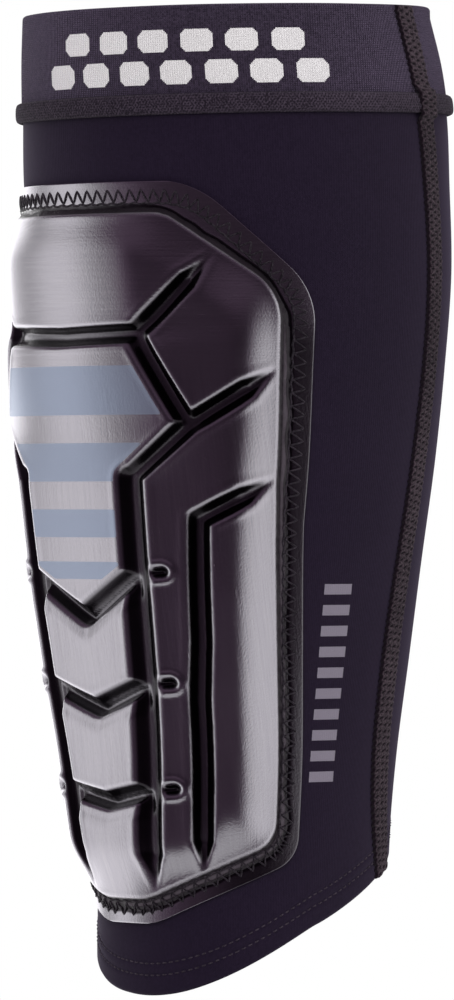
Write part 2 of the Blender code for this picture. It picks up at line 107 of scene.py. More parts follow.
def bell(x: Array, width: float) -> Array:
    """Return the bell curve exp(-(x / width)^2)."""
    return np.exp(-((x / width) ** 2))


def travel(line: Array) -> Array:
    """Return the distance travelled along a line at each of its points."""
    steps = np.linalg.norm(np.diff(line, axis=0), axis=1)
    return np.concatenate([[0], np.cumsum(steps)])


def grid_quads(rows: int, columns: int, loop_rows: bool, loop_columns: bool) -> Array:
    """Return the quads of a grid whose rows and columns may close on themselves.

    Args:
        rows: Number of rows of points.
        columns: Number of points in a row.
        loop_rows: Whether the last row joins the first.
        loop_columns: Whether each row's end joins its start.

    Returns:
        An array of four point numbers to a quad.
    """
    row = np.arange(rows if loop_rows else rows - 1)
    column = np.arange(columns if loop_columns else columns - 1)
    row, column = np.meshgrid(row, column, indexing="ij")
    below, beside = (row + 1) % rows, (column + 1) % columns
    corners = [
        row * columns + column,
        row * columns + beside,
        below * columns + beside,
        below * columns + column,
    ]
    return np.stack(corners, axis=-1).reshape(-1, 4)


def swept_threads(paths: Array, outward: Array, radii: Array, sides: int, loop: bool) -> "Shell":
    """Carry a small round profile along one or more paths.

    A point of the thread is its path's point plus the radius times
    (cos a * sideways + sin a * up), with up square to the path and nearest to outward.

    Args:
        paths: Points of shape (threads, points, 3).
        outward: The surface's outward directions, of the same shape.
        radii: The thread's radius at each point of a path.
        sides: Sides of the profile.
        loop: Whether each path closes on itself; if not, its ends are capped.

    Returns:
        The threads as one closed shell.
    """
    if loop:
        along = np.roll(paths, -1, axis=1) - np.roll(paths, 1, axis=1)
    else:
        along = np.gradient(paths, axis=1)
    along = along / np.linalg.norm(along, axis=2, keepdims=True)
    sideways = np.cross(along, outward)
    sideways = sideways / np.linalg.norm(sideways, axis=2, keepdims=True)
    up = np.cross(sideways, along)
    turn = np.arange(sides) * 2 * math.pi / sides
    ring = np.cos(turn)[:, None] * sideways[:, :, None] + np.sin(turn)[:, None] * up[:, :, None]
    points = paths[:, :, None] + ring * radii[None, :, None, None]
    count, length = paths.shape[:2]
    one = grid_quads(length, sides, loop, True)
    starts = np.arange(count) * length * sides
    quads = (one[None] + starts[:, None, None]).reshape(-1, 4)
    caps = []
    if not loop:
        circle = np.arange(sides)
        last = (length - 1) * sides
        caps = (starts[:, None] + circle).tolist() + (starts[:, None] + last + circle).tolist()
    return Shell(points.reshape(-1, 3), quads.tolist() + caps)


@dataclass
class Shell:
    """A closed mesh in the making: points, faces, and what its material reads.

    The chart has a row for each point, or for each corner of each face.
    """

    points: Array
    faces: list[list[int]]
    chart: Array | None = None
    marks: dict[str, Array] = field(default_factory=dict)

    def piece(self, name: str, material: bpy.types.Material) -> bpy.types.Object:
        """Make the mesh and its object at the origin, with its faces outwards.

        Args:
            name: The object's name.
            material: Its material.

        Returns:
            The linked object.
        """
        mesh = bpy.data.meshes.new(name)
        mesh.from_pydata(self.points.tolist(), [], self.faces)
        if self.chart is not None:
            chart = self.chart
            if len(chart) == len(self.points):
                corners = np.empty(len(mesh.loops), dtype=np.int32)
                mesh.loops.foreach_get("vertex_index", corners)
                chart = chart[corners]
            layer = mesh.uv_layers.new(name="chart")
            layer.uv.foreach_set("vector", chart.astype(np.float32).ravel())
        for title, values in self.marks.items():
            mark = mesh.attributes.new(title, "FLOAT", "POINT")
            mark.data.foreach_set("value", values.astype(np.float32).ravel())
        bm = bmesh.new()
        bm.from_mesh(mesh)
        bmesh.ops.recalc_face_normals(bm, faces=bm.faces)
        bm.to_mesh(mesh)
        bm.free()
        mesh.shade_smooth()
        mesh.materials.append(material)
        body = bpy.data.objects.new(name, mesh)
        bpy.context.scene.collection.objects.link(body)
        return body


# Finishes


class Wiring:
    """Adds nodes to a tree and joins them, so that a finish reads as a formula."""

    def __init__(self, tree: bpy.types.NodeTree) -> None:
        """Keep the tree that the nodes go into."""
        self.tree = tree

    def node(self, kind: str, **settings: object) -> bpy.types.Node:
        """Return a new node of a kind, with its settings set by name."""
        made = self.tree.nodes.new(kind)
        for key, value in settings.items():
            setattr(made, key, value)
        return made

    def feed(self, socket: Socket, value: object) -> None:
        """Join an output to a socket, or set the socket's own value."""
        if isinstance(value, Socket):
            self.tree.links.new(value, socket)
        else:
            socket.default_value = value

    def result(
        self, kind: str, output: object, feeds: dict, **settings: object
    ) -> Socket:
        """Return an output of a new node.

        Args:
            kind: The node's kind.
            output: The output's name or number.
            feeds: What the inputs take, by name or number.
            **settings: The node's settings.
        """
        made = self.node(kind, **settings)
        for key, value in feeds.items():
            self.feed(made.inputs[key], value)
        return made.outputs[output]

    def math(self, operation: str, *values: object) -> Socket:
        """Return the result of a Math node on numbers or outputs."""
        return self.result("ShaderNodeMath", 0, dict(enumerate(values)), operation=operation)

    def total(self, *values: object) -> Socket:
        """Return the sum of several numbers or outputs."""
        return reduce(lambda a, b: self.math("ADD", a, b), values)

    def times(self, *values: object) -> Socket:
        """Return the product of several numbers or outputs."""
        return reduce(lambda a, b: self.math("MULTIPLY", a, b), values)

    def minus(self, first: object, second: object) -> Socket:
        """Return the first number or output less the second."""
        return self.math("SUBTRACT", first, second)

    def step(self, value: object, low: float, high: float) -> Socket:
        """Return a soft step from 0 at low to 1 at high."""
        feeds = {"Value": value, "From Min": low, "From Max": high}
        return self.result("ShaderNodeMapRange", "Result", feeds, interpolation_type="SMOOTHSTEP")

    def span(self, value: object, low: object, high: object) -> Socket:
        """Return a number between low and high for a value from 0 to 1."""
        feeds = {"Value": value, "To Min": low, "To Max": high}
        return self.result("ShaderNodeMapRange", "Result", feeds)

    def blend(self, share: object, first: object, second: object) -> Socket:
        """Return a colour between two, by a share from 0 to 1."""
        feeds = {"Factor": share, "A": first, "B": second}
        return self.result("ShaderNodeMix", "Result", feeds, data_type="RGBA")

    def noise(self, place: object, scale: float, detail: float = 2.0) -> Socket:
        """Return soft noise from 0 to 1 at a place."""
        feeds = {"Vector": place, "Scale": scale, "Detail": detail}
        return self.result("ShaderNodeTexNoise", "Fac", feeds)

    def stretch(self, place: object, by: Scale) -> Socket:
        """Return a place with each of its axes multiplied."""
        return self.result("ShaderNodeVectorMath", 0, {0: place, 1: by}, operation="MULTIPLY")

    def split(self, place: object) -> tuple[Socket, ...]:
        """Return the three parts of a place."""
        made = self.node("ShaderNodeSeparateXYZ")
        self.feed(made.inputs[0], place)
        return tuple(made.outputs)

    def chart(self) -> Socket:
        """Return the piece's own flat chart, its UV map."""
        return self.node("ShaderNodeUVMap", uv_map="chart").outputs[0]

    def place(self) -> Socket:
        """Return object coordinates."""
        return self.node("ShaderNodeTexCoord").outputs["Object"]

    def mark(self, title: str) -> Socket:
        """Return an attribute that the mesh carries."""
        return self.node("ShaderNodeAttribute", attribute_name=title).outputs["Fac"]

    def use(self, group: bpy.types.NodeTree, **values: object) -> bpy.types.Node:
        """Return a placed node group with its inputs fed by name."""
        made = self.node("ShaderNodeGroup", node_tree=group)
        for key, value in values.items():
            self.feed(made.inputs[key], value)
        return made


def new_group(
    name: str, inputs: Sequence[str], outputs: Sequence[str]
) -> tuple[Wiring, dict, dict]:
    """Start a shader node group.

    Args:
        name: The group's name.
        inputs: Names of its inputs; Place is a vector and the rest are numbers.
        outputs: Names of its number outputs.

    Returns:
        Its wiring, its inputs by name, and its output sockets by name.
    """
    tree = bpy.data.node_groups.new(name, "ShaderNodeTree")
    for title in inputs:
        kind = "NodeSocketVector" if title == "Place" else "NodeSocketFloat"
        tree.interface.new_socket(title, in_out="INPUT", socket_type=kind)
    for title in outputs:
        tree.interface.new_socket(title, in_out="OUTPUT", socket_type="NodeSocketFloat")
    wiring = Wiring(tree)
    start = wiring.node("NodeGroupInput")
    end = wiring.node("NodeGroupOutput")
    return wiring, {t: start.outputs[t] for t in inputs}, {t: end.inputs[t] for t in outputs}


class SharedEffects:
    """The effects that several finishes use, each built once as a node group."""

    def __init__(self) -> None:
        """Build the groups."""
        self.knit = self.build_knit()
        self.brushed = self.build_brushed()
        self.drift = self.build_drift()

    @staticmethod
    def build_knit() -> bpy.types.NodeTree:
        """Build a knit or rib: columns of loops, as tall as cos x times a share of cos y.

        Returns:
            A group with inputs Place (metres), Wale and Course (metres), Depth of the
            courses, and outputs Height and Fleck.
        """
        w, given, out = new_group(
            "knit_loops", ("Place", "Wale", "Course", "Depth"), ("Height", "Fleck")
        )
        x, y, _ = w.split(given["Place"])
        wales, courses = w.math("DIVIDE", x, given["Wale"]), w.math("DIVIDE", y, given["Course"])
        across = w.math("COSINE", w.times(wales, 2 * math.pi))
        rows = w.total(courses, w.math("PINGPONG", wales, 0.5))
        along = w.math("COSINE", w.times(rows, 2 * math.pi))
        loops = w.total(across, w.times(along, given["Depth"]))
        w.feed(out["Height"], w.total(w.times(loops, 0.25), 0.5))
        cells = {0: w.math("FLOOR", wales), 1: w.math("FLOOR", courses)}
        cell = w.result("ShaderNodeCombineXYZ", 0, cells)
        w.feed(out["Fleck"], w.result(
            "ShaderNodeTexWhiteNoise", "Value", {"Vector": cell}, noise_dimensions="2D"
        ))
        return w.tree

    @staticmethod
    def build_brushed() -> bpy.types.NodeTree:
        """Build brushed streaks: two layers of noise drawn out along one axis.

        Returns:
            A group with input Place, already drawn out, and output Streak.
        """
        w, given, out = new_group("brushed_streaks", ("Place",), ("Streak",))
        coarse = w.noise(given["Place"], 1.0, 3.0)
        fine = w.noise(given["Place"], 4.0, 2.0)
        w.feed(out["Streak"], w.total(w.times(coarse, 0.6), w.times(fine, 0.4)))
        return w.tree

    @staticmethod
    def build_drift() -> bpy.types.NodeTree:
        """Build a slow change of tone over the surface, with a fine grain in it.

        Returns:
            A group with inputs Place and Grain (how much of it is fine), output Tone.
        """
        w, given, out = new_group("tone_drift", ("Place", "Grain"), ("Tone",))
        slow = w.noise(given["Place"], 22.0, 3.0)
        fine = w.noise(given["Place"], 1900.0, 1.0)
        w.feed(out["Tone"], w.span(given["Grain"], slow, fine))
        return w.tree


def new_material(name: str) -> tuple[bpy.types.Material, Wiring, bpy.types.Node]:
    """Return a new material with its wiring and its Principled shader."""
    material = bpy.data.materials.new(name)
    material.use_nodes = True
    return material, Wiring(material.node_tree), material.node_tree.nodes["Principled BSDF"]


def add_bump(w: Wiring, shader: bpy.types.Node, height: object, depth: float) -> None:
    """Feed a height in 0 to 1 to the shader's normal, as a bump of a depth in metres."""
    bump = w.result("ShaderNodeBump", "Normal", {"Distance": depth, "Height": height})
    w.feed(shader.inputs["Normal"], bump)


@dataclass(frozen=True)
class FabricFinish:
    """A stretch fabric: two yarn tones in a knit or rib, lighter on the loops and darker between
    them as painted shade, with a soft sheen.
    """

    name: str
    low: Colour
    high: Colour
    wale: float
    course: float
    course_depth: float
    flecks: float
    # How much painted shade falls between the loops.
    loop_shade: float
    bump: float
    roughness: float
    sheen: float
    sheen_tint: Colour = (0.36, 0.30, 0.44, 1)

    def build(self, effects: SharedEffects, scale: Scale) -> tuple:
        """Build the fabric's material.

        Args:
            effects: The shared node groups.
            scale: What turns the piece's chart into metres.

        Returns:
            The material, its wiring, its shader, the chart in metres and the colour.
        """
        material, w, shader = new_material(self.name)
        metres = w.stretch(w.chart(), scale)
        knit = w.use(
            effects.knit, Place=metres, Wale=self.wale, Course=self.course, Depth=self.course_depth
        )
        drift = w.use(effects.drift, Place=w.place(), Grain=0.25)
        fleck = w.span(knit.outputs["Fleck"], 0.5 - self.flecks / 2, 0.5 + self.flecks / 2)
        # Tone: slow drift, yarn flecks, and the loops' height as painted shade between them.
        tone = w.total(
            w.times(drift.outputs["Tone"], 0.5),
            w.times(knit.outputs["Height"], self.loop_shade),
            fleck,
            -0.25 - self.loop_shade / 2,
        )
        colour = w.blend(tone, self.low, self.high)
        w.feed(shader.inputs["Base Color"], colour)
        shader.inputs["Roughness"].default_value = self.roughness
        shader.inputs["Sheen Weight"].default_value = self.sheen
        shader.inputs["Sheen Roughness"].default_value = 0.45
        shader.inputs["Sheen Tint"].default_value = self.sheen_tint
        shader.inputs["Specular IOR Level"].default_value = 0.1
        add_bump(w, shader, knit.outputs["Height"], self.bump)
        return material, w, shader, metres, colour


@dataclass(frozen=True)
class BlockRibbon:
    """Two rows of blocks with cut corners, woven into the cuff, one row half a pitch along."""

    tint: Colour = (0.94, 0.92, 0.92, 1)
    block: float = 0.0096
    height: float = 0.0066
    pitch: float = 0.0134
    row_gap: float = 0.0024
    cut_corner: float = 0.0016
    middle: float = 0.0133        # over the joint
    centre: float = 0.0410        # round the leg from the shin, as an arc of the chart
    blocks: int = 7
    cell: float = 0.00040         # one stitch of the weave
    # Painted shade: the ribbon's colour in the hollows between its yarns.
    yarn_gap_shade: float = 0.74          # brightness of the hollows between its yarns

    def mask(self, w: Wiring, metres: Socket) -> Socket:
        """Return 1 on a block and 0 off it.

        The place is snapped to the weave's cells. Each row folds onto half a pitch, so
        that a block is where the distances from its middle are under its half sizes, and
        their overhang's sum is under the cut corner.

        Args:
            w: The material's wiring.
            metres: The cuff's chart: round the leg, and up from the joint.
        """
        feeds = {0: metres, 1: (self.cell, self.cell, 1.0)}
        x, y, _ = w.split(w.result("ShaderNodeVectorMath", 0, feeds, operation="SNAP"))
        aside = w.minus(x, math.pi * CHART_RADIUS + self.centre)
        up = w.minus(y, self.middle)
        upper = w.math("GREATER_THAN", up, 0.0)
        shifted = w.total(aside, w.times(upper, self.pitch / 2))
        from_middle = w.math("PINGPONG", shifted, self.pitch / 2)
        across = w.minus(from_middle, self.block / 2)
        row = w.minus(w.math("ABSOLUTE", up), (self.height + self.row_gap) / 2)
        along = w.minus(w.math("ABSOLUTE", row), self.height / 2)
        overhang = w.total(across, along, self.cut_corner)
        worst = w.math("MAXIMUM", w.math("MAXIMUM", across, along), overhang)
        reach = w.minus(self.blocks * self.pitch / 2, w.times(upper, self.pitch / 2))
        in_row = w.math("LESS_THAN", w.math("ABSOLUTE", aside), reach)
        return w.times(w.math("LESS_THAN", worst, 0.0), in_row)


@dataclass(frozen=True)
class TallyBars:
    """A plain upright row of printed bars on the sleeve's side."""

    tint: Colour = (0.20, 0.18, 0.22, 1)
    angle: float = math.radians(89.5)
    top: float = -0.0215
    foot: float = -0.0815
    pitch: float = 0.0060
    length: float = 0.0030
    width: float = 0.0100

    def mask(self, w: Wiring, metres: Socket) -> Socket:
        """Return 1 on a bar and 0 off it.

        Args:
            w: The material's wiring.
            metres: The sleeve's chart in metres.
        """
        x, _, _ = w.split(metres)
        _, _, z = w.split(w.place())
        aside = w.math("ABSOLUTE", w.minus(x, (math.pi + self.angle) * CHART_RADIUS))
        beat = w.math("PINGPONG", w.minus(z, self.foot), self.pitch / 2)
        on_bar = w.math("GREATER_THAN", beat, (self.pitch - self.length) / 2)
        in_row = w.times(
            w.math("LESS_THAN", z, self.top),
            w.math("GREATER_THAN", z, self.foot),
            w.math("LESS_THAN", aside, self.width / 2),
        )
        return w.times(on_bar, in_row)


@dataclass(frozen=True)
class ThreadFinish:
    """Sewing thread, with painted shade in the hollows between its loops."""

    name: str
    low: Colour
    high: Colour
    roughness: float = 0.6

    def build(self, effects: SharedEffects, shaded_hollow: bool) -> bpy.types.Material:
        """Build the thread's material.

        Args:
            effects: The shared node groups.
            shaded_hollow: Whether the mesh carries a mark for its hollows, painted as shade.
        """
        material, w, shader = new_material(self.name)
        drift = w.use(effects.drift, Place=w.place(), Grain=0.7)
        tone = w.step(drift.outputs["Tone"], 0.3, 0.7)
        if shaded_hollow:
            # Painted shade: the yarn darkens where the mesh marks a hollow.
            tone = w.times(tone, w.minus(1.0, w.step(w.mark("shaded_hollow"), 0.2, 0.8)))
        w.feed(shader.inputs["Base Color"], w.blend(tone, self.low, self.high))
        w.feed(shader.inputs["Roughness"], w.span(tone, self.roughness + 0.2, self.roughness))
        shader.inputs["Sheen Weight"].default_value = 0.04
        shader.inputs["Specular IOR Level"].default_value = 0.15
        add_bump(w, shader, w.noise(w.place(), 3500.0, 1.0), 0.00012)
        return material


@dataclass(frozen=True)
class FilmFinish:
    """The pad's satin metallic film, brushed, with a matt print, a rough glued edge, and painted
    shade in its hollows lifted by a painted highlight along the groove floors.
    """

    name: str = "satin_film"
    tint: Colour = (0.46, 0.435, 0.49, 1)
    worn: Colour = (0.58, 0.555, 0.60, 1)
    ink: Colour = (0.350, 0.395, 0.515, 1)
    glue: Colour = (0.085, 0.070, 0.085, 1)
    # The colour of the painted shade.
    shade_colour: Colour = (0.010, 0.006, 0.010, 1)
    roughness: float = 0.24
    coat: float = 0.10
    streaks: tuple[float, float] = (28.0, 1500.0)       # to a metre, along and across them
    turn_down: tuple[float, float] = (0.065, 0.045)     # where upright streaks turn level
    # Where the painted shade sets in, and how much of the film it covers.
    shade_steps: tuple[float, float] = (0.03, 0.32)
    shade_share: float = 0.92
    print_matt: float = 0.20
    glue_matt: float = 0.75
    bump: float = 0.00009

    def build(
        self, effects: SharedEffects, scale: Scale
    ) -> bpy.types.Material:
        """Build the film's material.

        Args:
            effects: The shared node groups.
            scale: What turns the pad's chart into metres.
        """
        material, w, shader = new_material(self.name)
        metres = w.stretch(w.chart(), scale)
        _, rise, _ = w.split(metres)
        along, across = self.streaks
        level = w.use(effects.brushed, Place=w.stretch(metres, (along, across, 1.0)))
        upright = w.use(effects.brushed, Place=w.stretch(metres, (across, along, 1.0)))
        high_up = w.step(rise, *(scale[1] - down for down in self.turn_down))
        streak = w.span(high_up, upright.outputs["Streak"], level.outputs["Streak"])
        drift = w.use(effects.drift, Place=w.place(), Grain=0.35)
        tone = w.total(w.times(streak, 1.5), w.times(drift.outputs["Tone"], 0.5), -0.5)
        print_mask = w.step(w.mark("print"), -0.03, 0.03)
        glue_mask = w.mark("shelf")
        film = w.blend(tone, self.tint, self.worn)
        # Painted shade: the film darkens to the shade colour in grooves, the shelf's gap, the
        # rim's foot and the side flange; the painted floor highlight takes some of it back.
        shaded_hollow = w.minus(w.step(w.mark("shaded_hollow"), *self.shade_steps), w.mark("floor_highlight"))
        film = w.blend(glue_mask, w.blend(print_mask, film, self.ink), self.glue)
        colour = w.blend(w.times(shaded_hollow, self.shade_share), film, self.shade_colour)
        w.feed(shader.inputs["Base Color"], colour)
        bare = w.times(
            w.minus(1.0, w.times(print_mask, self.print_matt)),
            w.minus(1.0, w.times(glue_mask, self.glue_matt)),
        )
        w.feed(shader.inputs["Metallic"], bare)
        rough = w.total(
            w.span(streak, self.roughness - 0.05, self.roughness + 0.07),
            w.times(print_mask, 0.08),
            w.times(glue_mask, 0.22),
        )
        w.feed(shader.inputs["Roughness"], rough)
        shader.inputs["Coat Weight"].default_value = self.coat
        shader.inputs["Coat Roughness"].default_value = 0.12
        grain = w.total(
            w.times(streak, 0.5),
            w.times(w.noise(w.place(), 1500.0, 2.0), w.span(glue_mask, 0.5, 3.0)),
        )
        add_bump(w, shader, grain, self.bump)
        return material


KNIT_FINISH = FabricFinish(
    name="stretch_knit",
    low=(0.0072, 0.0044, 0.0112, 1),
    high=(0.0186, 0.0120, 0.0268, 1),
    wale=0.00075,
    course=0.0006,
    course_depth=0.4,
    flecks=0.25,
    loop_shade=0.12,
    bump=0.00004,
    roughness=0.80,
    sheen=0.20,
)
CUFF_FINISH = FabricFinish(
    name="woven_elastic",
    low=(0.012, 0.009, 0.016, 1),
    high=(0.058, 0.043, 0.071, 1),
    wale=0.00070,
    course=0.00055,
    course_depth=0.8,
    flecks=0.45,
    loop_shade=0.45,
    bump=0.00030,
    roughness=0.85,
    sheen=0.40,
)
JOINT_FINISH = ThreadFinish("band_yarn", (0.010, 0.007, 0.012, 1), (0.062, 0.047, 0.068, 1), 0.75)
SEAM_FINISH = ThreadFinish("seam_yarn", (0.006, 0.003, 0.006, 1), (0.066, 0.046, 0.058, 1), 0.7)
STITCH_FINISH = ThreadFinish(
    "black_thread", (0.004, 0.003, 0.005, 1), (0.038, 0.030, 0.040, 1), 0.45
)
HEM_FINISH = ThreadFinish("hem_thread", (0.020, 0.015, 0.022, 1), (0.062, 0.048, 0.066, 1), 0.6)


# The leg that everything is laid on


@dataclass(frozen=True)
class Leg:
    """The sleeve's outer face: superellipse sections, with a tilted hem."""

    length: float = 0.2830
    top_rise: float = 0.0035
    hem_rise: float = 0.0440
    hem_side_lift: float = 0.0033
    hem_turn: float = math.radians(13)
    width: float = 0.1180
    depth: float = 0.1245
    power: float = 2.15
    # Share down the leg, then side of half width, front and back of depth.
    sections: tuple = (
        (0.00, 0.935, 0.506, 0.442),
        (0.05, 0.958, 0.506, 0.478),
        (0.10, 0.982, 0.500, 0.494),
        (0.17, 0.996, 0.494, 0.500),
        (0.26, 1.000, 0.464, 0.506),
        (0.36, 0.975, 0.430, 0.488),
        (0.45, 0.924, 0.400, 0.470),
        (0.56, 0.847, 0.376, 0.439),
        (0.66, 0.774, 0.352, 0.414),
        (0.76, 0.703, 0.331, 0.388),
        (0.85, 0.661, 0.324, 0.373),
        (1.00, 0.644, 0.323, 0.372),
    )

    @property
    def top(self) -> float:
        """Return the height of the cuff's top edge at the shin."""
        return self.length / 2

    def half_sizes(self, z: Array) -> tuple[Array, Array, Array]:
        """Return the half width, front depth and back depth at a height."""
        down, side, front, back = columns_of(self.sections)
        at = (self.top - z) / self.length
        return (
            smooth(at, down, side) * self.width / 2,
            smooth(at, down, front) * self.depth,
            smooth(at, down, back) * self.depth,
        )

    def surface(self, angle: Array, z: Array, lift: Array) -> Array:
        """Return points over the leg.

        The section is a superellipse: x is the side times sin^(2/p) of the angle, y the
        depth times cos^(2/p), and a point is moved by the lift along the section's normal.

        Args:
            angle: Angles from the shin towards +X.
            z: Heights.
            lift: Distances outside the sleeve's face.
        """
        angle, z, lift = np.broadcast_arrays(angle, z, lift)
        side, front, back = self.half_sizes(z)
        sine, cosine = np.sin(angle), np.cos(angle)
        depth = np.where(cosine > 0, front, back)
        x = side * np.sign(sine) * np.abs(sine) ** (2 / self.power)
        y = -depth * np.sign(cosine) * np.abs(cosine) ** (2 / self.power)
        nx = np.sign(x) * np.abs(x / side) ** (self.power - 1) / side
        ny = np.sign(y) * np.abs(y / depth) ** (self.power - 1) / depth
        size = np.hypot(nx, ny)
        return np.stack([x + lift * nx / size, y + lift * ny / size, z + 0 * x], axis=-1)

    def outward(self, angle: Array, z: Array) -> Array:
        """Return the outward directions at places on the leg."""
        way = self.surface(angle, z, MM) - self.surface(angle, z, 0.0)
        return way / MM

    def top_edge(self, angle: Array) -> Array:
        """Return the height of the cuff's top edge, which rises towards the calf."""
        return self.top + self.top_rise * (1 - np.cos(angle)) / 2

    def hem_edge(self, angle: Array) -> Array:
        """Return the height of the hem: a tilted cut, bowed up at the sides."""
        turned = angle - self.hem_turn
        climb = self.hem_rise * (1 - np.cos(turned)) / 2
        return self.top - self.length + climb + self.hem_side_lift * np.sin(turned) ** 2


def turns(around: int) -> Array:
    """Return angles all round the leg, starting at the calf."""
    return np.linspace(-math.pi, math.pi, around, endpoint=False)


def round_leg(leg: Leg, around: int, heights: Array, lifts: Array, chart_length: float) -> Shell:
    """Carry a closed profile round the leg.

    Args:
        leg: The leg.
        around: Points round it.
        heights: Heights of shape (profile, around).
        lifts: Distances off the sleeve's face, of the same shape.
        chart_length: Length that the chart's second axis runs over.

    Returns:
        A closed shell. Its chart is the turn round the leg and the length along the
        profile, each from 0 to 1.
    """
    turn = turns(around)
    points = leg.surface(turn[None], heights, lifts)
    middle = around // 4
    steps = np.hypot(np.diff(heights[:, middle]), np.diff(lifts[:, middle]))
    along = np.concatenate([[0], np.cumsum(steps)]) / chart_length
    along = np.append(along, 1.0)
    share = np.arange(around + 1) / around
    corners = ((0, 0), (0, 1), (1, 1), (1, 0))
    chart = np.stack(
        [
            np.stack(np.meshgrid(share[j : j + around], along[i : i + len(heights)]), axis=-1)
            for i, j in corners
        ],
        axis=2,
    )
    quads = grid_quads(len(heights), around, True, True)
    return Shell(points.reshape(-1, 3), quads.tolist(), chart.reshape(-1, 2))


def chart_scale(chart_length: float) -> Scale:
    """Return what turns a round chart into metres."""
    return (2 * math.pi * CHART_RADIUS, chart_length, 1.0)


@dataclass
class Sleeve:
    """The knitted sleeve with its folded hem and the hem's two rows of stitches."""

    leg: Leg
    wall: float = 0.0012
    fold: float = 0.0105
    fold_wall: float = 0.0012
    cuff_height: float = 0.0283
    around: int = 420
    rows: int = 150
    hem_rows: int = 26
    back_rows: int = 60
    chart_length: float = 0.62
    stitch_rows: tuple[float, float] = (0.0058, 0.0092)
    stitch_pitch: float = 0.0021
    stitch_length: float = 0.0015
    stitch_radius: float = 0.00022
    stitch_lift: float = 0.00010
    stitch_sink: float = 0.00128
    dip_width: float = 0.0007
    dip_depth: float = 0.00032
    fold_step: float = 0.0012
    hem_proud: float = 0.00015
    hem_tuck: float = 0.00045
    hem_bend: float = 0.00035
    above_fold: float = 0.002
    flat_width: float = 0.350
    flat_length: float = 0.262
    flat_area: float = 0.0722

    def shell(self) -> Shell:
        """Build the wall: down the face, round the hem and up the back.

        The face sinks by a small bell curve along each row of stitches, puckered once a
        stitch, and the folded hem stands proud of the face by a soft step.
        """
        turn = turns(self.around)
        upper = self.leg.top_edge(turn) - self.cuff_height - CLEARANCE
        lower = self.leg.hem_edge(turn)
        hem = lower + self.fold + self.above_fold
        share = np.linspace(0, 1, self.rows)[:, None]
        face = upper + (hem - upper) * share
        share = np.linspace(0, 1, self.hem_rows)[1:, None]
        low_face = hem + (lower + self.wall / 2 - hem) * share
        front = np.concatenate([face, low_face])
        over = front - lower
        pucker = 0.75 + 0.25 * np.cos(turn * self.around / 3)
        dip = sum(bell(over - row, self.dip_width) for row in self.stitch_rows)
        proud = ease((self.fold - over) / self.fold_step + 0.5)
        lift = self.hem_proud * proud - self.dip_depth * dip * pucker
        tuck = self.hem_tuck * (1 - over / self.wall) ** 2
        lift = np.where(over < self.wall, lift - tuck, lift)
        inner, bend = -self.wall - self.fold_wall, self.hem_bend
        rim = [(lower, -bend), (lower, inner + bend), (lower + bend, inner)]
        rim += [(lower + self.fold, inner), (lower + self.fold + bend, -self.wall)]
        share = np.linspace(0, 1, self.back_rows)[1:, None]
        back = rim[-1][0] + (upper - rim[-1][0]) * share
        heights = np.concatenate([front, np.array([h for h, _ in rim]), back])
        lifts = np.concatenate(
            [lift, np.array([np.full(self.around, v) for _, v in rim]), 0 * back - self.wall]
        )
        return round_leg(self.leg, self.around, heights, lifts, self.chart_length)

    def dress(self, effects: SharedEffects) -> bpy.types.Object:
        """Make the sleeve and its finish, with the row of bars printed on its side."""
        scale = chart_scale(self.chart_length)
        material, w, shader, metres, colour = KNIT_FINISH.build(effects, scale)
        bars = TallyBars()
        mask = bars.mask(w, metres)
        w.feed(shader.inputs["Base Color"], w.blend(mask, colour, bars.tint))
        piece = self.shell().piece("knit_sleeve", material)
        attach(piece, "root")
        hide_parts("fabric_sleeve")
        return piece

    def stitches(self) -> Shell:
        """Build the hem's stitches: each a short bean that dips into the knit at its ends."""
        along = np.linspace(-0.5, 0.5, 7)
        shells = []
        for over in self.stitch_rows:
            turn = np.linspace(0, 2 * math.pi, 2000)
            line = self.leg.surface(turn, self.leg.hem_edge(turn) + over, 0.0)
            travelled = travel(line)
            count = int(travelled[-1] / self.stitch_pitch)
            middles = (np.arange(count) + 0.5) * travelled[-1] / count
            angle = np.interp(middles[:, None] + along * self.stitch_length, travelled, turn)
            z = self.leg.hem_edge(angle) + over
            lift = self.stitch_lift - self.stitch_sink * along**2
            paths = self.leg.surface(angle, z, lift)
            radii = self.stitch_radius * np.sqrt(1.06 - (2 * along) ** 2)
            shells.append(swept_threads(paths, self.leg.outward(angle, z), radii, 6, False))
        return joined(shells)

    def dress_stitches(self, effects: SharedEffects) -> bpy.types.Object:
        """Make the stitches and their thread."""
        piece = self.stitches().piece("hem_stitches", HEM_FINISH.build(effects, False))
        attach(piece, "root")
        return piece


def joined(shells: Sequence[Shell]) -> Shell:
    """Return several shells as one."""
    points, faces, start = [], [], 0
    for shell in shells:
        points.append(shell.points)
        faces.extend([[number + start for number in face] for face in shell.faces])
        start += len(shell.points)
    return Shell(np.concatenate(points), faces)


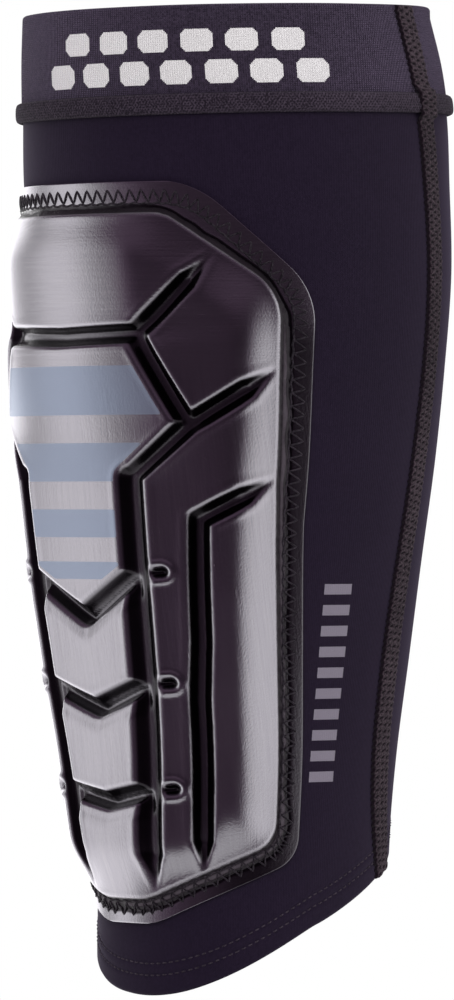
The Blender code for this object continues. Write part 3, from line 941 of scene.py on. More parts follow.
@dataclass
class Cuff:
    """The woven elastic cuff and the looped band over its joint with the sleeve."""

    leg: Leg
    height: float = 0.0283
    wall: float = 0.0022
    proud: float = 0.0004
    around: int = 420
    rows: int = 26
    chart_length: float = 0.064
    band_height: float = 0.0058
    band_wall: float = 0.0013
    band_around: int = 1320
    band_rows: int = 17
    loop_pitch: float = 0.00100
    loop_rows: float = 0.00145
    loop_depth: float = 0.00022
    rolls: int = 9
    roll_depth: float = 0.00018
    flat_width: float = 0.335

    def shell(self) -> Shell:
        """Build the cuff: up its face, over a rounded top edge and down its back."""
        turn = turns(self.around)
        upper = self.leg.top_edge(turn)
        joint = upper - self.height
        inner = self.proud - self.wall
        radius = self.wall / 2
        share = np.linspace(0, 1, self.rows)[:, None]
        face = joint + (upper - radius - joint) * share
        bend = np.linspace(0, math.pi, 9)[1:-1, None]
        crown = upper - radius + radius * np.sin(bend)
        crown_lift = self.proud - radius + radius * np.cos(bend)
        heights = np.concatenate([face, crown, face[::-1]])
        lifts = np.concatenate([0 * face + self.proud, crown_lift + 0 * crown, 0 * face + inner])
        roll = self.roll_depth * np.sin(turn * self.rolls + 1.0)
        lifts = lifts + roll * ease((heights - joint) / self.height)
        return round_leg(self.leg, self.around, heights, lifts, self.chart_length)

    def dress(self, effects: SharedEffects) -> bpy.types.Object:
        """Make the cuff and its finish, with the white ribbon woven into its face."""
        scale = chart_scale(self.chart_length)
        material, w, shader, metres, colour = CUFF_FINISH.build(effects, scale)
        ribbon = BlockRibbon()
        mask = ribbon.mask(w, metres)
        knit = w.use(
            effects.knit,
            Place=metres,
            Wale=CUFF_FINISH.wale,
            Course=CUFF_FINISH.course,
            Depth=CUFF_FINISH.course_depth,
        )
        # Painted shade: the ribbon darkens where the weave's loops are low.
        gap_shaded_tint = tuple(ribbon.yarn_gap_shade * value for value in ribbon.tint[:3]) + (1,)
        white = w.blend(knit.outputs["Height"], gap_shaded_tint, ribbon.tint)
        w.feed(shader.inputs["Base Color"], w.blend(mask, colour, white))
        piece = self.shell().piece("elastic_cuff", material)
        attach(piece, "root")
        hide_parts("cuff_band")
        return piece

    def band_shell(self) -> Shell:
        """Build the band: a rounded strip whose face is a lattice of thread loops.

        The face sinks by |cos(2 pi x / row) - cos(2 pi y / pitch)| / 2, which is 0 along
        crossing threads and 1 in the hollow between them.
        """
        turn = turns(self.band_around)
        middle = self.leg.top_edge(turn) - self.height
        half = self.band_height / 2
        inner = self.proud + CLEARANCE
        across = np.linspace(-1, 1, self.band_rows)[:, None]
        bulge = (1 - np.abs(across) ** 3) ** 0.5
        arc = turn * CHART_RADIUS
        shaded_hollow = lattice(across * half, arc, self.loop_rows, self.loop_pitch)
        face_lift = inner + self.band_wall * (0.25 + 0.9 * bulge) - self.loop_depth * shaded_hollow
        face = middle + half * across
        heights = np.concatenate([face, [middle + half, middle - half]])
        lifts = np.concatenate([face_lift, np.full((2, self.band_around), inner)])
        shell = round_leg(self.leg, self.band_around, heights, lifts, self.chart_length)
        # Painted shade in the loops' hollows, and full painted shade on the two rows underneath.
        marks = np.concatenate([shaded_hollow, np.ones((2, self.band_around))])
        shell.marks["shaded_hollow"] = marks.ravel()
        return shell

    def dress_band(self, effects: SharedEffects) -> bpy.types.Object:
        """Make the band and its yarn."""
        piece = self.band_shell().piece("joint_band", JOINT_FINISH.build(effects, True))
        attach(piece, "root")
        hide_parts("cuff_joint_band")
        return piece


def lattice(x: Array, y: Array, row: float, pitch: float) -> Array:
    """Return a lattice of hollows: 0 on crossing threads, 1 in the middle of a hollow.

    It is |cos(2 pi x / row) - cos(2 pi y / pitch)| / 2, raised to sharpen the hollows.
    """
    waves = np.cos(2 * math.pi * x / row) - np.cos(2 * math.pi * y / pitch)
    return (np.abs(waves) / 2) ** 1.3


@dataclass
class ClosingSeam:
    """The flat looped seam from the cuff's top edge to the hem."""

    leg: Leg
    cuff: Cuff
    width: float = 0.0090
    wall: float = 0.0008
    rows: int = 1400
    across: int = 39
    loop_pitch: float = 0.0019
    loop_column: float = 0.0052
    loop_depth: float = 0.0004
    scallop: float = 0.07         # how much each loop widens the seam
    straight: float = 0.036       # down to here the distance down is true
    # Share down the seam and its angle round the leg in degrees.
    path: tuple = (
        (0.00, 110.4),
        (0.12, 115.8),
        (0.33, 119.8),
        (0.55, 118.5),
        (0.75, 116.8),
        (0.88, 120.0),
        (1.00, 128.0),
    )

    def shell(self) -> Shell:
        """Build the strip: its section carried down the path, its face a lattice of loops.

        Its edges are scalloped once a loop, and it climbs over the joint band by a soft
        step on either side.
        """
        down, degrees = columns_of(self.path)
        share = np.linspace(0, 1, self.rows)[:, None]
        middle = np.radians(smooth(share, down, degrees))
        z, drop = self.heights(middle, share)
        side, _, back = self.leg.half_sizes(z)
        x = np.linspace(-1, 1, self.across)[None]
        scallop = 1 + self.scallop * np.cos(2 * math.pi * drop / self.loop_pitch)
        metres = x * self.width / 2 * scallop
        shaded_hollow = lattice(metres, drop, self.loop_column, self.loop_pitch) ** 1.5
        # The left edge sinks and takes a painted shadow line beside the seam.
        shaded_hollow = np.maximum(shaded_hollow, ease((-0.78 - x) / 0.12))
        bulge = (1 - np.abs(x) ** 4) ** 0.5
        angle = middle + metres / ((side + back) / 2)
        z, drop = self.heights(angle, share)
        inner = CLEARANCE + self.climb(drop)
        lift = inner + self.wall * (0.35 + 0.75 * bulge) - self.loop_depth * shaded_hollow
        face = self.leg.surface(angle, z, lift)
        ends = [-1, 0]
        low = self.leg.surface(angle[:, ends], z[:, ends], inner[:, ends])
        points = np.concatenate([face, low], axis=1)
        count = self.across + 2
        faces = grid_quads(self.rows, count, False, True).tolist()
        last = (self.rows - 1) * count
        faces.append(list(range(count)))
        faces.append([last + i for i in range(count)])
        # Full painted shade on the two edge points underneath.
        marks = np.concatenate([shaded_hollow, np.ones((self.rows, 2))], axis=1)
        return Shell(points.reshape(-1, 3), faces, None, {"shaded_hollow": marks.ravel()})

    def heights(self, angle: Array, share: Array) -> tuple[Array, Array]:
        """Return heights and distances down at shares of the way down the seam.

        Down to the straight part's end the distance is the same at every angle, and
        below it the seam stretches to the hem.

        Args:
            angle: Angles round the leg.
            share: Shares of the way down.
        """
        top = self.leg.top_edge(angle)
        span = top - self.leg.hem_edge(angle) - CLEARANCE
        length = self.leg.length
        drop = CLEARANCE + share * (length - CLEARANCE)
        below = np.maximum(drop - self.straight, 0) * (span - self.straight)
        drop = np.minimum(drop, self.straight) + below / (length - self.straight)
        return top - drop, drop

    def climb(self, drop: Array) -> Array:
        """Return how far the seam stands out over the cuff and its band."""
        cuff = self.cuff
        over_cuff = cuff.proud * ease((cuff.height - drop) / MM + 0.5)
        reach = np.abs(drop - cuff.height) - cuff.band_height / 2
        over_band = (cuff.band_wall + CLEARANCE) * ease(1 - (reach - CLEARANCE) / (2.2 * MM))
        return over_cuff + over_band

    def dress(self, effects: SharedEffects) -> bpy.types.Object:
        """Make the seam and its yarn."""
        piece = self.shell().piece("looped_seam", SEAM_FINISH.build(effects, True))
        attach(piece, "root")
        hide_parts("closing_seam")
        return piece


# The pad


PAD_HEIGHT = 0.2128
HALF_PAD = 0.0750
GROOVE_DEPTH = 0.0038
GROOVE_HALF = 0.0032
SPINE_HALF = 0.0040
GROOVE_FLOOR = 0.27
GROOVE_TAPER = 0.0110


def flat(shares: Sequence[Sequence[float]]) -> Array:
    """Return flat pad points in metres from shares across and down."""
    return np.array(shares, dtype=float)[:, :2] * (HALF_PAD, PAD_HEIGHT)


def turned(vector: Array, angle: Array) -> Array:
    """Return a flat vector turned by each of several angles."""
    c, s = np.cos(angle), np.sin(angle)
    return np.stack([c * vector[0] - s * vector[1], s * vector[0] + c * vector[1]], axis=-1)


def rounded(corners: Sequence[Sequence[float]]) -> Array:
    """Return an outline with its corners rounded by arcs.

    Args:
        corners: Shares across and down, and the corner's radius as a share of HALF_PAD.
    """
    points = flat(corners)
    radii = np.array(corners)[:, 2] * HALF_PAD
    parts = [points[:1]]
    for i in range(1, len(points) - 1):
        before, after = points[i - 1] - points[i], points[i + 1] - points[i]
        before, after = before / np.linalg.norm(before), after / np.linalg.norm(after)
        turn = math.pi - math.acos(np.clip(before @ after, -1, 1))
        middle = (before + after) / np.linalg.norm(before + after)
        centre = points[i] + middle * radii[i] / math.cos(turn / 2)
        start = points[i] + before * radii[i] * math.tan(turn / 2) - centre
        sign = math.copysign(1, before[0] * after[1] - before[1] * after[0])
        steps = max(2, math.ceil(turn / math.radians(6)))
        parts.append(centre + turned(start, -sign * turn * np.arange(steps + 1) / steps))
    return np.concatenate(parts + [points[-1:]])


def line_distance(points: Array, line: Array) -> Array:
    """Return each point's distance to a line of points."""
    best = np.full(len(points), np.inf)
    for a, b in zip(line[:-1], line[1:]):
        along = b - a
        share = np.clip((points - a) @ along / (along @ along), 0, 1)
        best = np.minimum(best, np.linalg.norm(points - a - share[:, None] * along, axis=1))
    return best


def within(points: Array, line: Array) -> Array:
    """Return which points lie between the shin line and an outline."""
    across, down = points[:, 0], points[:, 1]
    crossings = np.zeros(len(points), dtype=int)
    for a, b in zip(line[:-1], line[1:]):
        spans = (a[1] <= down) != (b[1] <= down)
        slope = (b[0] - a[0]) / (b[1] - a[1] if b[1] != a[1] else 1.0)
        crossings += spans & (across < a[0] + slope * (down - a[1]))
    return crossings % 2 == 1


@dataclass
class Groove:
    """A moulded groove along a line, whose ends may run out to a point."""

    shares: tuple
    half: float = GROOVE_HALF
    pointed_start: bool = False
    pointed_end: bool = False
    depth: float = GROOVE_DEPTH

    def stations(self) -> tuple[Array, Array, Array]:
        """Return the middle line with the half width and depth at each of its points."""
        line = flat(self.shares)
        half = np.full(len(line), self.half)
        depth = np.full(len(line), self.depth)
        if self.pointed_end:
            line, half, depth = self.pointed(line, half, depth)
        if self.pointed_start:
            line, half, depth = self.pointed(line[::-1], half[::-1], depth[::-1])
        return line, half, depth

    @staticmethod
    def pointed(line: Array, half: Array, depth: Array) -> tuple[Array, Array, Array]:
        """Return the stations with the last stretch running out to a point."""
        stretch = line[-2] - line[-1]
        length = np.linalg.norm(stretch)
        shoulder = line[-1] + stretch * min(GROOVE_TAPER, 0.8 * length) / length
        return (
            np.concatenate([line[:-1], [shoulder], line[-1:]]),
            np.concatenate([half[:-1], half[-2:-1], half[-1:] * 0.12]),
            np.concatenate([depth[:-1], depth[-2:-1], [0.0]]),
        )

    def reach(self, points: Array) -> tuple[Array, Array, Array]:
        """Return the groove's cut at points, and their distances from its edge and middle."""
        line, half, depth = self.stations()
        cut = np.zeros(len(points))
        off = np.full(len(points), np.inf)
        middle = np.full(len(points), np.inf)
        for i in range(len(line) - 1):
            a, along = line[i], line[i + 1] - line[i]
            share = np.clip((points - a) @ along / (along @ along), 0, 1)
            away = np.linalg.norm(points - a - share[:, None] * along, axis=1)
            wide = half[i] + share * (half[i + 1] - half[i])
            deep = depth[i] + share * (depth[i + 1] - depth[i])
            wall = ease((wide - away) / (wide * (1 - GROOVE_FLOOR)))
            cut = np.maximum(cut, deep * wall)
            off = np.minimum(off, away - wide)
            middle = np.minimum(middle, away)
        return cut, off, middle


def blurred(field_values: Array, sigma: float) -> Array:
    """Return a raster blurred by a bell curve of sigma cells, along both axes in turn."""
    reach = max(1, math.ceil(3 * sigma))
    weights = np.exp(-0.5 * (np.arange(-reach, reach + 1) / sigma) ** 2)
    weights /= weights.sum()
    for axis in (0, 1):
        pads = [(reach, reach) if a == axis else (0, 0) for a in (0, 1)]
        wide = np.pad(field_values, pads, mode="edge")
        length = field_values.shape[axis]
        pieces = [np.take(wide, np.arange(k, k + length), axis=axis) for k in range(len(weights))]
        field_values = sum(weight * piece for weight, piece in zip(weights, pieces))
    return field_values


@dataclass
class PadRelief:
    """The height of the pad's face over its underside, worked out on a fine flat raster."""

    leg: Leg
    drop: float = 0.0496
    foot_drift: float = 0.0030
    cell: float = 0.0004
    flange: float = 0.0010
    rim_rise: float = 0.0017
    rim_run: float = 0.0007
    front_edge: float = 0.0105
    side_edge: float = 0.0095
    least: float = 0.0020
    shelf_width: float = 0.0025
    shelf_rise: float = 0.0006
    gap_width: float = 0.0008
    edge_round: float = 0.0004
    notch_half: float = 0.0019
    notch_depth: float = 0.0017
    notch_reach: float = 0.0046
    roll_depth: float = 0.0012
    roll_width: float = 0.0048
    soft_cells: float = 6.5       # blur of the facets' edges, in cells
    fine_cells: float = 0.9       # blur of the grooves, in cells
    lip_rise: float = 0.00016
    lip_off: float = 0.0009
    lip_width: float = 0.0008
    gap_depth: float = 0.0003
    ragged: float = 0.00022       # how far the shelf's edge wanders
    rough_rise: float = 0.00011
    slow_rise: float = 0.00007
    flange_outline: tuple = (
        (0.000, 0.000, 0.00),
        (0.600, 0.000, 0.34),
        (1.024, 0.147, 0.25),
        (0.861, 0.460, 0.80),
        (0.713, 0.912, 0.15),
        (0.128, 1.000, 0.33),
        (0.000, 1.000, 0.00),
    )
    rim_outline: tuple = (
        (0.000, 0.040, 0.00),
        (0.473, 0.040, 0.16),
        (0.884, 0.147, 0.19),
        (0.766, 0.403, 0.50),
        (0.627, 0.890, 0.14),
        (0.115, 0.968, 0.27),
        (0.000, 0.968, 0.00),
    )
    crease_outline: tuple = (
        (0.000, 0.095, 0.00),
        (0.360, 0.095, 0.11),
        (0.705, 0.190, 0.13),
        (0.592, 0.403, 0.50),
        (0.468, 0.847, 0.08),
        (0.330, 0.899, 0.11),
        (0.000, 0.904, 0.00),
    )
    # Down, across, front height, side height, flatness of the front facet.
    facets: tuple = (
        (0.095, 0.335, 0.78, 0.78, 0.20),
        (0.150, 0.335, 0.84, 0.88, 0.20),
        (0.200, 0.335, 0.88, 0.97, 0.20),
        (0.213, 0.335, 1.06, 1.02, 0.20),
        (0.326, 0.451, 1.18, 1.14, 0.20),
        (0.397, 0.263, 1.33, 1.30, 0.60),
        (0.558, 0.248, 1.28, 1.36, 0.70),
        (0.671, 0.231, 1.20, 1.27, 0.75),
        (0.821, 0.194, 1.03, 1.07, 0.80),
        (1.000, 0.155, 0.74, 0.82, 0.80),
    )
    grooves: tuple = (
        Groove(((0.000, 0.208), (0.328, 0.204))),
        Groove(((0.328, 0.204), (0.633, 0.098)), pointed_end=True),
        Groove(((0.328, 0.204), (0.481, 0.326))),
        Groove(((0.481, 0.326), (0.813, 0.251)), pointed_end=True),
        Groove(((0.481, 0.326), (0.263, 0.397))),
        Groove(
            ((0.263, 0.397), (0.248, 0.558), (0.231, 0.671), (0.194, 0.821), (0.162, 0.953)),
            half=SPINE_HALF,
            pointed_end=True,
        ),
        Groove(
            ((0.760, 0.396), (0.477, 0.453), (0.436, 0.615), (0.404, 0.695), (0.364, 0.873),
             (0.351, 0.930)),
            pointed_start=True,
            pointed_end=True,
        ),
        Groove(((0.000, 0.583), (0.251, 0.526))),
        Groove(((0.000, 0.707), (0.230, 0.675))),
        Groove(((0.000, 0.833), (0.195, 0.818))),
    )
    # Where the shallow notches start on the spine groove: across, down.
    notches: tuple = ((0.251, 0.526), (0.230, 0.675), (0.195, 0.818))
    shield: tuple = (
        (0.000, 0.208),
        (0.328, 0.204),
        (0.481, 0.326),
        (0.263, 0.397),
        (0.251, 0.526),
        (0.000, 0.583),
    )
    # The printed bars on the shield: from, to, in metres down.
    bars: tuple = ((0.0525, 0.0665), (0.0745, 0.0855), (0.0935, 0.1015), (0.1085, 0.1135))
    print_inset: float = 0.0012

    def __post_init__(self) -> None:
        """Work the rasters out once."""
        self.flange_line = rounded(self.flange_outline)
        self.across = np.arange(0, 1.08 * HALF_PAD, self.cell)
        self.down = np.arange(-5 * self.cell, PAD_HEIGHT + 6 * self.cell, self.cell)
        self.fields = self.work_out()

    def mirrored(self, half: Array) -> Array:
        """Return a half raster with its mirror image on the other side of the shin line."""
        values = half.reshape(len(self.down), len(self.across))
        return np.concatenate([values[:, :0:-1], values], axis=1)

    @staticmethod
    def grain(random: np.random.Generator, shape: tuple[int, ...], cells: float) -> Array:
        """Return noise blurred over some cells, with a spread of 1."""
        noise = blurred(random.standard_normal(shape), cells)
        return noise / noise.std()

    def work_out(self) -> dict[str, Array]:
        """Work out the rasters of the height, the print, the glued shelf, the painted shade in the
        hollows and the painted highlight on the groove floors.

        The border slopes from the rim to the crease, and inside the crease the height is
        the facets'. Facets are blurred widely, grooves are cut into them with a narrow
        blur, and the rim is a soft step left sharp.

        Returns:
            Rasters of the full width by name.
        """
        points = np.stack(np.meshgrid(self.across, self.down), axis=-1).reshape(-1, 2)
        rim, crease = rounded(self.rim_outline), rounded(self.crease_outline)
        to_rim, in_rim = line_distance(points, rim), within(points, rim)
        from_rim = to_rim * in_rim
        from_crease = line_distance(points, crease) * ~within(points, crease)
        on_slope = np.clip(from_rim - self.rim_run, 0, None)
        share = on_slope / np.maximum(on_slope + from_crease, 1e-9)
        base = self.flange + self.rim_rise
        body = blurred(self.mirrored((self.facet_height(points) - base) * share), self.soft_cells)
        reaches = [groove.reach(points) for groove in self.grooves]
        cut = self.mirrored(np.max([r[0] for r in reaches], axis=0))
        cut = blurred(cut, self.fine_cells)
        off = self.mirrored(np.min([r[1] for r in reaches], axis=0))
        middle = self.mirrored(np.min([r[2] for r in reaches], axis=0))
        share = blurred(self.mirrored(share), 2.0)
        notch_cut, notch_lip = self.notch_relief(points)
        lip = self.lip_rise * bell(off - self.lip_off, self.lip_width) * ease(share * 3)
        raised = base + body + lip + self.mirrored(notch_lip)
        raised = raised - blurred(self.mirrored(self.plate_roll(points)), self.fine_cells)
        cut = np.maximum(cut * share**0.5, self.mirrored(notch_cut))
        height = np.maximum(raised - cut, np.minimum(raised, self.least))
        step = blurred(self.mirrored(ease(from_rim / self.rim_run)), 0.7)
        random = np.random.default_rng(7)
        rough, slow = (self.grain(random, step.shape, cells) for cells in (1.6, 5.0))
        outside = self.mirrored(to_rim * ~in_rim)
        on_side = ease((points[:, 1] / PAD_HEIGHT - 0.13) / 0.10)
        wide = self.shelf_width * self.mirrored(0.25 + 0.75 * on_side)
        edge = wide + self.ragged * slow - outside
        gap = bell(edge + 0.0002, self.gap_width) * (1 - step)
        # Painted shadow at the foot of the rim's wall.
        wall = ease((0.75 - step) / 0.5) * bell(outside, 0.0008)
        shelf = ease(edge / 0.0005 + 0.5) * (1 - step)
        # Painted shade on the flange at the sides, away from the shelf.
        outer = ease((points[:, 0] / HALF_PAD - 0.22) / 0.30)
        flank_shade = self.mirrored(on_side * outer) * (1 - step) * (1 - shelf)
        bumps = self.rough_rise * rough + self.slow_rise * slow
        low = self.flange + shelf * (self.shelf_rise + bumps) - self.gap_depth * gap
        panel = flat(self.shield)
        inset = line_distance(points, panel) * within(points, panel)
        inset = inset - GROOVE_HALF - self.print_inset
        bars = [np.minimum(points[:, 1] - a, b - points[:, 1]) for a, b in self.bars]
        ink = np.minimum(inset, np.max(bars, axis=0)) / MM
        # The groove's depth share sets its painted shade and its floor's painted highlight.
        deep = cut / GROOVE_DEPTH
        return {
            "height": low + (height - low) * step,
            "shelf": shelf,
            "print": self.mirrored(ink),
            # Painted shade: grooves by depth, the shelf's gap (also sunk), the rim's foot and the
            # side flange.
            "shaded_hollow": np.max([deep, 0.9 * gap, 0.5 * wall, 0.22 * flank_shade], axis=0),
            # Painted highlight along each groove's floor.
            "floor_highlight": 0.42 * bell(middle - 0.0003, 0.0005) * ease(deep * 1.4),
        }

    def plate_roll(self, points: Array) -> Array:
        """Return how far the plates' tops roll over below the chevron grooves.

        The roll falls from its full depth at the groove to none by a soft step.
        """
        roll = np.zeros(len(points))
        for groove in self.grooves[-3:]:
            line, half, _ = groove.stations()
            below = points[:, 1] - np.interp(points[:, 0], line[:, 0], line[:, 1])
            fade = 1 - ease((below - half[0]) / self.roll_width)
            inner = ease((line[-1, 0] - points[:, 0]) / MM) * (below > 0)
            roll = np.maximum(roll, self.roll_depth * fade * inner)
        return roll

    def facet_height(self, points: Array) -> Array:
        """Return the facets' height: each is a flat cut between two lifted edges.

        Beyond the crease the height stays the crease's own, so the border slopes evenly.
        """
        table_down, across, front, side, flatness = columns_of(self.facets)
        down = points[:, 1] / PAD_HEIGHT
        front_edge = np.interp(down, table_down, across) * HALF_PAD
        front_lift = np.interp(down, table_down, front) * self.front_edge
        side_lift = np.interp(down, table_down, side) * self.side_edge
        long_side = np.array(self.crease_outline)[2:5]
        side_edge = np.interp(down, long_side[:, 1], long_side[:, 0]) * HALF_PAD
        in_front = points[:, 0] < front_edge
        first = np.where(in_front, -front_edge, front_edge)
        second = np.where(in_front, front_edge, side_edge)
        a = self.leg.surface(*self.shin_place(points, first), front_lift)
        second_lift = np.where(in_front, front_lift, side_lift)
        b = self.leg.surface(*self.shin_place(points, second), second_lift)
        angle, z = self.shin_place(points, np.minimum(points[:, 0], side_edge))
        base = self.leg.surface(angle, z, 0.0)
        outward = self.leg.surface(angle, z, 1.0) - base
        across_way = (b - a)[:, :2]
        normal = np.stack([across_way[:, 1], -across_way[:, 0]], axis=1)
        cut = ((a - base)[:, :2] * normal).sum(axis=1) / (outward[:, :2] * normal).sum(axis=1)
        share = np.where(in_front, np.interp(down, table_down, flatness), 1.0)
        return front_lift + (cut - front_lift) * share

    def notch_relief(self, points: Array) -> tuple[Array, Array]:
        """Return the cut and the raised lip of the notches on the side strips.

        A notch is a round-ended stub from the spine groove: its cut is a soft step in
        from its edge, and its lip a bell curve just outside.
        """
        cut, lip = np.zeros(len(points)), np.zeros(len(points))
        for across, down in flat(self.notches):
            start = np.array([across, down])
            end = start + (SPINE_HALF + self.notch_reach - self.notch_half, -0.0006)
            inside = self.notch_half - line_distance(points, np.stack([start, end]))
            beyond = ease((points[:, 0] - across - SPINE_HALF + 0.001) / 0.002)
            cut = np.maximum(cut, self.notch_depth * ease(inside / 0.0017) * beyond)
            lip = np.maximum(lip, 0.0007 * bell(inside + 0.0008, 0.0008) * beyond)
        return cut, lip

    def shin_place(self, points: Array, across: Array) -> tuple[Array, Array]:
        """Return the angle and height of places level with points, at a distance across."""
        z = self.leg.top - self.drop - points[:, 1]
        side, front, _ = self.leg.half_sizes(z)
        return across / ((side + front) / 2), z

    def place(self, points: Array) -> tuple[Array, Array]:
        """Return the angle and height of flat pad points, with the foot's drift."""
        z = self.leg.top - self.drop - points[..., 1]
        side, front, _ = self.leg.half_sizes(z)
        drift = self.foot_drift * np.clip(points[..., 1] / PAD_HEIGHT, 0, 1) ** 3
        return (points[..., 0] + drift) / ((side + front) / 2), z

    def read(self, name: str, points: Array) -> Array:
        """Return a raster's values at flat points, mixed between the four nearest cells."""
        raster = self.fields[name]
        x = (points[..., 0] + self.across[-1]) / self.cell
        y = (points[..., 1] - self.down[0]) / self.cell
        x = np.clip(x, 0, raster.shape[1] - 1.001)
        y = np.clip(y, 0, raster.shape[0] - 1.001)
        i, j = y.astype(int), x.astype(int)
        u, v = y - i, x - j
        top = raster[i, j] * (1 - v) + raster[i, j + 1] * v
        low = raster[i + 1, j] * (1 - v) + raster[i + 1, j + 1] * v
        return top * (1 - u) + low * u

    def flange_loop(self, inset: Array, spread: Array) -> Array:
        """Return points at a distance in from the flange's edge, all round it.

        Args:
            inset: Distances in from the edge.
            spread: Distances along the edge, from the top's middle.
        """
        right = self.flange_line
        left = right[::-1][1:-1] * (-1, 1)
        loop = np.concatenate([right, left, right[:1]])
        travelled = travel(loop)
        fine = np.arange(0, travelled[-1], 0.0004)
        line = np.stack([np.interp(fine, travelled, loop[:, k]) for k in (0, 1)], axis=1)
        for _ in range(3):
            line = (np.roll(line, 3, axis=0) + line + np.roll(line, -3, axis=0)) / 3
        way = np.roll(line, -2, axis=0) - np.roll(line, 2, axis=0)
        way = way / np.linalg.norm(way, axis=1, keepdims=True)
        inward = np.stack([-way[:, 1], way[:, 0]], axis=1)
        values = [
            np.interp(spread, fine, table, period=travelled[-1])
            for table in (line[:, 0], line[:, 1], inward[:, 0], inward[:, 1])
        ]
        return np.stack([values[0] + inset * values[2], values[1] + inset * values[3]], axis=-1)

    def flange_length(self) -> float:
        """Return the length of the flange's edge, all round."""
        return 2 * float(travel(self.flange_line)[-1])


